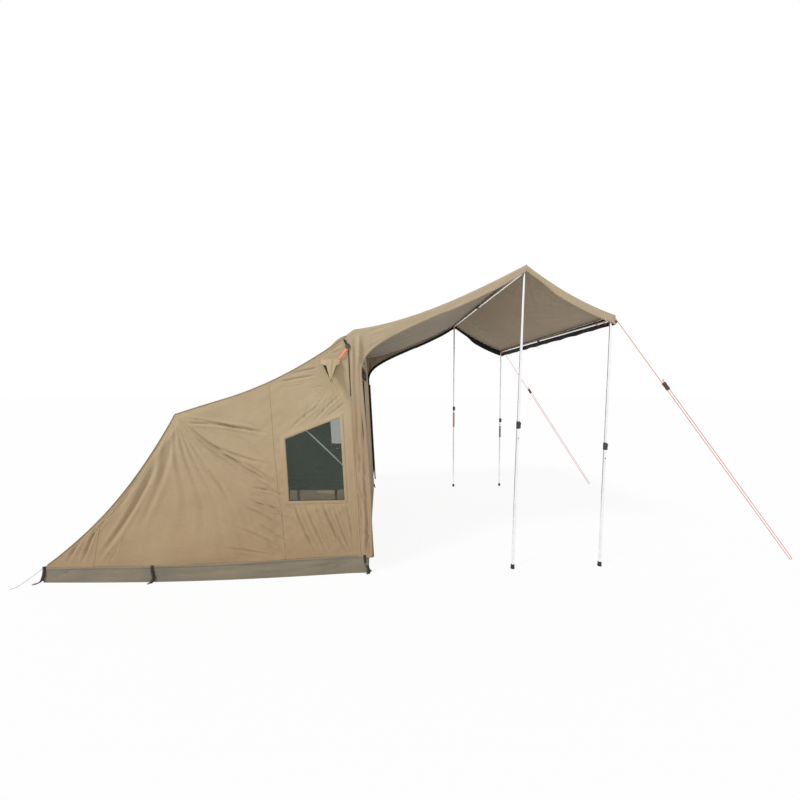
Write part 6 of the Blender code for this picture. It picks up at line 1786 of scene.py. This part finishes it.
orange_webbing = fabric("orange webbing", (0.88, 0.27, 0.15), (0.92, 0.38, 0.25), roughness=0.7, threads=700.0,
                        wrinkle=0.1, dust_and_shade=0.0, sheen=0.1)
buckle_black = principled("moulded black", (0.022, 0.022, 0.024), 0.42)
for name, side in SIDES.items():
    shape, _ = flap_shape(name, side, over_zip=False)
    lap = WING_LAP[name]
    edge = along((door_x(1.56) + lap, 1.56), (door_x(0.13) + lap, 0.13))
    # The strip down the wing's back is painted shadow: a black band with teeth along the wing's back edge.
    back = along((1.0962, 1.815), (1.1045, 1.62), (1.1135, 1.44), step=0.01)
    tapes = [band(beside(edge, 0.004), 0.018, shape, -side, -CLOTH - 0.0001, -CLOTH - 0.0008),
             band(back, 0.0085, shape, -side, 0.0010)]
    made = joined("wing_%s_zip_tapes" % name, tapes, [zip_tape])
    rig.ride(made, "tent_shell")
    lines = []
    for path, inset, lift in ((edge, 0.0065, -CLOTH), (back, 0.0, 0.0014)):
        at = beside(path, inset)
        lines.append(lay(shape, at[:, 0], at[:, 1], lift, -side)[0])
    made = row_of("wing_%s_zip_teeth" % name, lines, coil, pitch=0.0042, length=0.0026, width=0.0038)
    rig.ride(made, "tent_shell")
    out = side * (HALF_WIDTH + 0.0135)
    pulled = [(1.0245, side * (HALF_WIDTH + 0.0042), 1.7330), (1.045, out, 1.7585), (1.070, out, 1.7905),
              (1.0925, out, 1.8190)]
    lower = strap(smooth_route(pulled, 5), (0.78, 0, -0.62), 0.021, 0.0016)
    made = joined("wing_%s_head_strap" % name, [lower], [orange_webbing])
    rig.ride(made, "tent_shell")
    frame_of = [(1.0875, 1.812), (1.1085, 1.8285), (1.0975, 1.8495), (1.0760, 1.8335)]
    loop = [Vector((x, out + side * 0.0010, z)) for x, z in frame_of]
    bars = [tube(smooth_route(loop + loop[:1], 3)[:-1], 0.0036, 8, closed=True),
            tube([(loop[0] + loop[3]) / 2, (loop[1] + loop[2]) / 2], 0.0028, 8)]
    made = joined("wing_%s_head_buckle" % name, bars, [buckle_black])
    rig.ride(made, "tent_shell")
    sewn = [(1.0865, out, 1.8385), (1.078, out, 1.858), (1.068, side * (HALF_WIDTH + 0.0065), 1.876),
            (1.0615, side * (HALF_WIDTH + 0.0032), 1.8865)]
    upper = strap(smooth_route(sewn, 5), (0.9, 0, 0.42), 0.016, 0.0016)
    made = joined("wing_%s_head_tab" % name, [upper], [webbing])
    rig.ride(made, "tent_shell")


# Roof fold. A tuck of canvas stands up on the roof beside the front ridge, where the fly is strapped
# down. It is made in the awning's underside material, dark partly from its coat and partly from painted shade.

tucks = []
for side in SIDES.values():
    run = np.linspace(0.945, 1.075, 26)
    rise = 0.025 * np.sin(math.pi * np.clip((run - 0.945) / 0.134, 0, 1)) ** 0.6 + 0.002
    points, faces, corners = [], [], []
    for i, x in enumerate(run):
        base = float(roof_shape(np.array([x]), np.array([1.165 * side]))[0, 2]) - 0.0005
        for y, up in ((1.193, -0.001), (1.179, 0.45 * rise[i]), (1.168, rise[i]),
                      (1.161, rise[i] + 0.0006), (1.150, 0.55 * rise[i]), (1.134, 0.0)):
            points.append((x, side * (y + 0.002 * math.sin(i * 0.7)), base + up))
    for i in range(len(run) - 1):
        for k in range(6):
            m = (k + 1) % 6
            quad = [6 * i + k, 6 * i + m, 6 * i + 6 + m, 6 * i + 6 + k]
            spots = [(run[i], 0.02 * k), (run[i], 0.02 * (k + 1)), (run[i + 1], 0.02 * (k + 1)),
                     (run[i + 1], 0.02 * k)]
            faces.append(quad if side < 0 else quad[::-1])
            corners += spots if side < 0 else spots[::-1]
    for first, order in ((0, side), (6 * len(run) - 6, -side)):
        faces.append([first + k for k in range(6)][::int(order)])
        corners += [(0.0, 0.0)] * 6
    tucks.append((points, faces, corners))
made = joined("roof_tucks", tucks, [awning_under])
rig.ride(made, "tent_shell")


# Corner patches and eyelets. A square of canvas is box-stitched over each corner of the awning, and a
# pressed metal eyelet there takes the leg's spigot. Smaller ones sit in the valances at the peak.

def turned_ring(centre, way, profile, sides=20):
    """A ring turned about an axis from its section's corners as (radius, height)."""
    way = Vector(way).normalized()
    one = way.orthogonal().normalized()
    two = way.cross(one)
    count = len(profile)
    points, faces = [], []
    for radius, height in profile:
        for k in range(sides):
            angle = 2 * math.pi * k / sides
            out = one * math.cos(angle) + two * math.sin(angle)
            points.append(Vector(centre) + way * height + out * radius)
    for i in range(count):
        j = (i + 1) % count
        for k in range(sides):
            m = (k + 1) % sides
            faces.append((i * sides + k, i * sides + m, j * sides + m, j * sides + k))
    return points, faces, [(0.0, 0.0)] * (4 * len(faces))


def leg_spot(row, name, height):
    """A place on the axis of a leg."""
    foot, top, level = {"ridge": {"left": (1.217, 1.217, 2.446), "right": (1.197, 1.268, 2.446)},
                        "front": {"left": (1.935, 1.944, 2.064), "right": (1.948, 2.009, 2.064)}}[row][name]
    return Vector((DOOR_X + foot + (top - foot) * height / level, SIDES[name] * 1.20, height))


pressed = principled("nickelled brass", (0.55, 0.52, 0.46), 0.3, 1.0)
EYELET = [(0.0050, -0.0006), (0.0098, -0.0006), (0.0102, 0.0006),
          (0.0088, 0.0018), (0.0064, 0.0022), (0.0050, 0.0012)]
patches, box_rows, rings = [], [], []
for name, side in SIDES.items():
    for shape, low, high, hole in ((back_slope, BACK_CUT - 0.108, BACK_CUT - 0.022, None),
                                   (front_slope, 0.022, 0.108, "ridge"),
                                   (front_slope, FRONT_CUT - 0.105, FRONT_CUT - 0.024, "front")):
        at = side * (AWNING_CUT - 0.062)
        patches.append(band(along((low, at), (high, at), step=0.012), 0.088, shape, 1, 0.0011))
        corners = [(low + 0.005, at - 0.039), (high - 0.005, at - 0.039),
                   (high - 0.005, at + 0.039), (low + 0.005, at + 0.039)]
        path = np.array(along(*corners, corners[0], *corners[2:3], *corners[1:2], *corners[3:4], step=0.01))
        box_rows.append(lay(shape, path[:, 0], path[:, 1], 0.0012, 1)[0])
        if hole:
            top = leg_spot(hole, name, 2.446 if hole == "ridge" else 2.064)
            u = np.array([0.020 if hole == "ridge" else FRONT_CUT - 0.020])
            v = np.array([side * (AWNING_CUT - 0.0155)])
            spot, normal = lay(shape, u, v, 0.0012, 1)
            rings.append(turned_ring(spot[0], normal[0], EYELET))
    flap, _ = flap_shape(name, side)
    for x, z in ((DOOR_X + 1.262, 2.4430), (DOOR_X + EDGE_AHEAD - 0.052, 2.062)):
        spot, normal = lay(flap, np.array([x]), np.array([z]), 0.0008, -side)
        rings.append(turned_ring(spot[0], normal[0], [(r * 0.85, h) for r, h in EYELET]))
made = joined("awning_corner_patches", patches, [trim_canvas])
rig.ride(made, "tent_shell")
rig.slot(made, "canvas_trim")
made = row_of("awning_patch_stitches", box_rows, thread)
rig.ride(made, "tent_shell")
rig.slot(made, "canvas_trim")
made = joined("awning_eyelets", rings, [pressed])
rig.ride(made, "tent_shell")


# Elastic toggles and the lantern hook. Orange elastic loops hold the valance to the front bar near its
# corners, and a bent wire hook hangs from the middle of the bar.

elastic = braided("orange elastic", (0.78, 0.15, 0.05), (0.85, 0.3, 0.15), 300.0)
ELASTIC_LOOP = [(0.0145 * math.cos(t) + 0.0025, 0.003 * math.sin(2 * t), 0.0150 * math.sin(t) + 0.001)
                for t in np.linspace(0, 2 * math.pi, 28, endpoint=False)]
ELASTIC_TAIL = [(0.016, 0.002, -0.006), (0.0195, 0.005, -0.014), (0.0175, 0.008, -0.024)]
TOGGLE = [(0.0012, -0.002), (0.0050, -0.002), (0.0062, 0.002), (0.0062, 0.008), (0.0040, 0.011), (0.0012, 0.011)]
HOOK = [(-0.0125, 0, 0.0), (-0.009, 0, 0.0095), (0.0, 0, 0.0128), (0.009, 0, 0.0095), (0.0128, 0, 0.0),
        (0.0095, 0, -0.014), (0.002, 0, -0.030), (0.0, 0, -0.060), (0.002, 0, -0.078), (0.010, 0, -0.088),
        (0.019, 0, -0.080), (0.021, 0, -0.068)]


def bar_spot(row, y):
    """A place on the axis of a spreader bar."""
    if row == "ridge":
        return Vector((DOOR_X + 1.2425 - y * 0.02125, y, 2.446))
    return Vector((DOOR_X + 1.9765 - y * 0.02708, y, 2.064))


loops, beads = [], []
for side in SIDES.values():
    for y in (1.035, 1.125):
        centre = bar_spot("front", side * y)
        loops.append(tube([centre + Vector(p) for p in ELASTIC_LOOP], 0.0022, 8, closed=True))
        tail = [centre + Vector(p) for p in ELASTIC_TAIL]
        loops.append(tube(smooth_route(tail, 4), 0.0020, 8))
        beads.append(turned_ring(tail[-1] - Vector((0, 0, 0.008)), (0, 0, 1), TOGGLE, 12))
made = joined("front_bar_elastics", loops, [elastic])
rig.ride(made, "tent_shell")
made = joined("front_bar_toggles", beads, [buckle_black])
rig.ride(made, "tent_shell")
middle = bar_spot("front", 0.060)
wire = [middle + Vector(p) for p in HOOK]
made = joined("front_bar_hook", [tube(smooth_route(wire, 4), 0.0014, 8)], [pressed])
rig.ride(made, "tent_shell")


# Fittings of the legs and bars. Black joint sleeves cover the ends of the bars' outer tubes. A snap
# button stops each leg's inner tube, and two of the legs carry plain plastic sleeves.

sleeve_orange = principled("orange sleeve", (0.86, 0.37, 0.28), 0.5)
sleeve_grey = principled("grey sleeve", (0.30, 0.30, 0.31), 0.5)
JOINT = [(0.0114, 0.0), (0.0147, 0.0), (0.0153, 0.002), (0.0153, 0.036), (0.0147, 0.039), (0.0114, 0.039)]
BUTTON = [(0.0002, -0.001), (0.0048, -0.001), (0.0046, 0.0014), (0.0030, 0.0024), (0.0002, 0.0027)]
BUTTON_HEIGHT = {"ridge_leg_right": 1.090, "ridge_leg_left": 1.150,
                 "front_leg_right": 0.915, "front_leg_left": 0.950}
for row in ("ridge", "front"):
    low, high = bar_spot(row, -0.0035), bar_spot(row, 0.0355)
    made = joined("%s_bar_joint" % row, [turned_ring(low, high - low, JOINT, 24)], [buckle_black])
    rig.ride(made, "tent_shell")
for body, height in BUTTON_HEIGHT.items():
    row, _, name = body.split("_")
    centre = leg_spot(row, name, height)
    studs = [turned_ring(centre + Vector((0, out * 0.0124, 0)), (0, out, 0), BUTTON, 12) for out in (-1, 1)]
    made = joined(body + "_button", studs, [buckle_black])
    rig.ride(made, body)
for body, row, low, high, skin in (("ridge_leg_left", "ridge", 0.917, 1.134, sleeve_orange),
                                   ("front_leg_left", "front", 0.754, 0.925, sleeve_grey)):
    start, end = leg_spot(row, "left", low), leg_spot(row, "left", high)
    length = (end - start).length
    sleeve = [(0.0128, 0.0), (0.0136, 0.0), (0.0138, 0.001), (0.0138, length - 0.001), (0.0136, length),
              (0.0128, length)]
    made = joined(body + "_sleeve", [turned_ring(start, end - start, sleeve, 24)], [skin])
    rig.ride(made, body)


# Metal, plastic and rubber of the frame. The tubes are drawn aluminium with fine lines along them and
# dull handling marks, the clamps are moulded nylon, the feet are ribbed rubber, the sliders are cast.

drawn, given, result = new_group("Drawn metal", [("Lines along " + axis, count) for axis, count in
                                                 (("x", 200.0), ("y", 200.0), ("z", 4.0))],
                                 [(label, "NodeSocketFloat") for label in ("Roughness", "Height", "Handled")])
spot = node(drawn, "ShaderNodeTexCoord").outputs["Object"]
scale = node(drawn, "ShaderNodeCombineXYZ", at=dict(enumerate(given.outputs[:3])))
stretched = node(drawn, "ShaderNodeVectorMath", [("operation", "MULTIPLY")], at={0: spot, 1: scale.outputs[0]})
lines_of = node(drawn, "ShaderNodeTexNoise", Scale=1.0, Detail=3.0, Roughness=0.6, Vector=stretched.outputs[0])
marks = node(drawn, "ShaderNodeTexNoise", Scale=14.0, Detail=5.0, Roughness=0.65, Vector=spot)
handled = node(drawn, "ShaderNodeMapRange", From_Min=0.48, From_Max=0.72, Value=marks.outputs[0])
rough = node(drawn, "ShaderNodeMapRange", From_Min=0.3, From_Max=0.7, To_Min=0.20, To_Max=0.36,
             Value=lines_of.outputs[0])
duller = sums(drawn, "MULTIPLY", handled.outputs[0], 0.14)
drawn.links.new(sums(drawn, "ADD", rough.outputs[0], duller), result.inputs["Roughness"])
drawn.links.new(lines_of.outputs[0], result.inputs["Height"])
drawn.links.new(handled.outputs[0], result.inputs["Handled"])

moulded, given, result = new_group("Moulded", [("Grain", 1600.0), ("Base roughness", 0.45), ("Scuffs", 0.3)],
                                   [(label, "NodeSocketFloat") for label in ("Roughness", "Height", "Scuffed")])
spot = node(moulded, "ShaderNodeTexCoord").outputs["Object"]
grit = node(moulded, "ShaderNodeTexNoise", Detail=2.0, Roughness=0.5, Vector=spot, Scale=given.outputs["Grain"])
wear = node(moulded, "ShaderNodeTexNoise", Scale=70.0, Detail=5.0, Roughness=0.7, Vector=spot)
scuffed = node(moulded, "ShaderNodeMapRange", From_Min=0.52, From_Max=0.75, Value=wear.outputs[0])
mask = sums(moulded, "MULTIPLY", scuffed.outputs[0], given.outputs["Scuffs"])
duller = sums(moulded, "ADD", given.outputs["Base roughness"], sums(moulded, "MULTIPLY", mask, 0.4))
uneven_grit = sums(moulded, "ADD", grit.outputs[0], sums(moulded, "MULTIPLY", wear.outputs[0], 1.5))
moulded.links.new(mask, result.inputs["Scuffed"])
moulded.links.new(duller, result.inputs["Roughness"])
moulded.links.new(uneven_grit, result.inputs["Height"])


def finished(made, worn, depth, grain=1700.0, roughness=0.38, scuffs=0.5):
    """Moulded or cast, with a worn colour in its scuffs."""
    return surfaced(made, moulded, "Scuffed", worn, depth, Grain=grain, Base_roughness=roughness, Scuffs=scuffs)


def surfaced(made, group, mask, worn, depth, **values):
    """Places one of the groups above in a material, with a worn colour mixed in by its mask."""
    tree = made.node_tree
    shader = tree.nodes["Principled BSDF"]
    effect = node(tree, "ShaderNodeGroup", [("node_tree", group)], **values)
    clean = tuple(shader.inputs["Base Color"].default_value)
    tree.links.new(mixed(tree, effect.outputs[mask], clean, (*worn, 1.0)), shader.inputs["Base Color"])
    tree.links.new(effect.outputs["Roughness"], shader.inputs["Roughness"])
    relief(tree, 0.5, depth, effect.outputs["Height"])
    return made


tubes = {}
for label, counts in (("upright", (260.0, 260.0, 4.0)), ("crosswise", (260.0, 4.0, 260.0)),
                      ("lengthwise", (5.0, 260.0, 12.0))):
    bare = principled("drawn aluminium " + label, (0.93, 0.93, 0.93), 0.28, 1.0)
    tubes[label] = surfaced(bare, drawn, "Handled", (0.82, 0.82, 0.82), 0.00006,
                            **{"Lines_along_" + axis: count for axis, count in zip("xyz", counts)})
clamp_black = finished(principled("clamp nylon", (0.030, 0.031, 0.034), 0.45), (0.10, 0.10, 0.10), 0.00005,
                       1600.0, 0.42, 0.35)
lever_black = finished(principled("lever nylon", (0.045, 0.046, 0.050), 0.40), (0.14, 0.14, 0.14), 0.00005,
                       1800.0, 0.34, 0.45)
rubber = finished(principled("foot rubber", (0.016, 0.016, 0.016), 0.8), (0.12, 0.105, 0.085), 0.00012,
                  900.0, 0.72, 0.5)
slider_zinc = finished(principled("cast zinc", (0.50, 0.51, 0.53), 0.35, 1.0), (0.30, 0.30, 0.31), 0.00004,
                       2400.0, 0.28, 0.5)
runner_brown = finished(principled("runner nylon", (0.085, 0.030, 0.020), 0.45), (0.17, 0.09, 0.07), 0.00005,
                        1500.0, 0.40, 0.4)
for skin, worn in ((buckle_black, (0.09, 0.09, 0.09)), (sleeve_orange, (0.90, 0.50, 0.42)),
                   (sleeve_grey, (0.42, 0.42, 0.42)), (pressed, (0.33, 0.30, 0.25))):
    finished(skin, worn, 0.00005)
for name, made in cad.items():
    skin = None
    if name.endswith(("_upper", "_lower")) or name.startswith("upright_"):
        skin = tubes["upright"]
    elif "spreader" in name or name in ("front_ridge_bar", "mid_roof_bar", "rear_ridge_bar"):
        skin = tubes["crosswise"]
    elif name.startswith("roof_arm_") or name in ("strut_right", "strut_left"):
        skin = tubes["lengthwise"]
    elif name.endswith("_clamp") or name.startswith("strut_collar"):
        skin = clamp_black
    elif name.endswith("_lever"):
        skin = lever_black
    elif name.endswith("_foot"):
        skin = rubber
    elif "slider" in name:
        skin = slider_zinc
    elif name.startswith("rope_runner"):
        skin = runner_brown
    if skin is not None:
        for slot in made.material_slots:
            slot.material = skin


with open("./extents.json", "w") as note:
    json.dump([[list(corner) for corner in cad_box], [list(corner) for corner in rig.bounds()]], note)
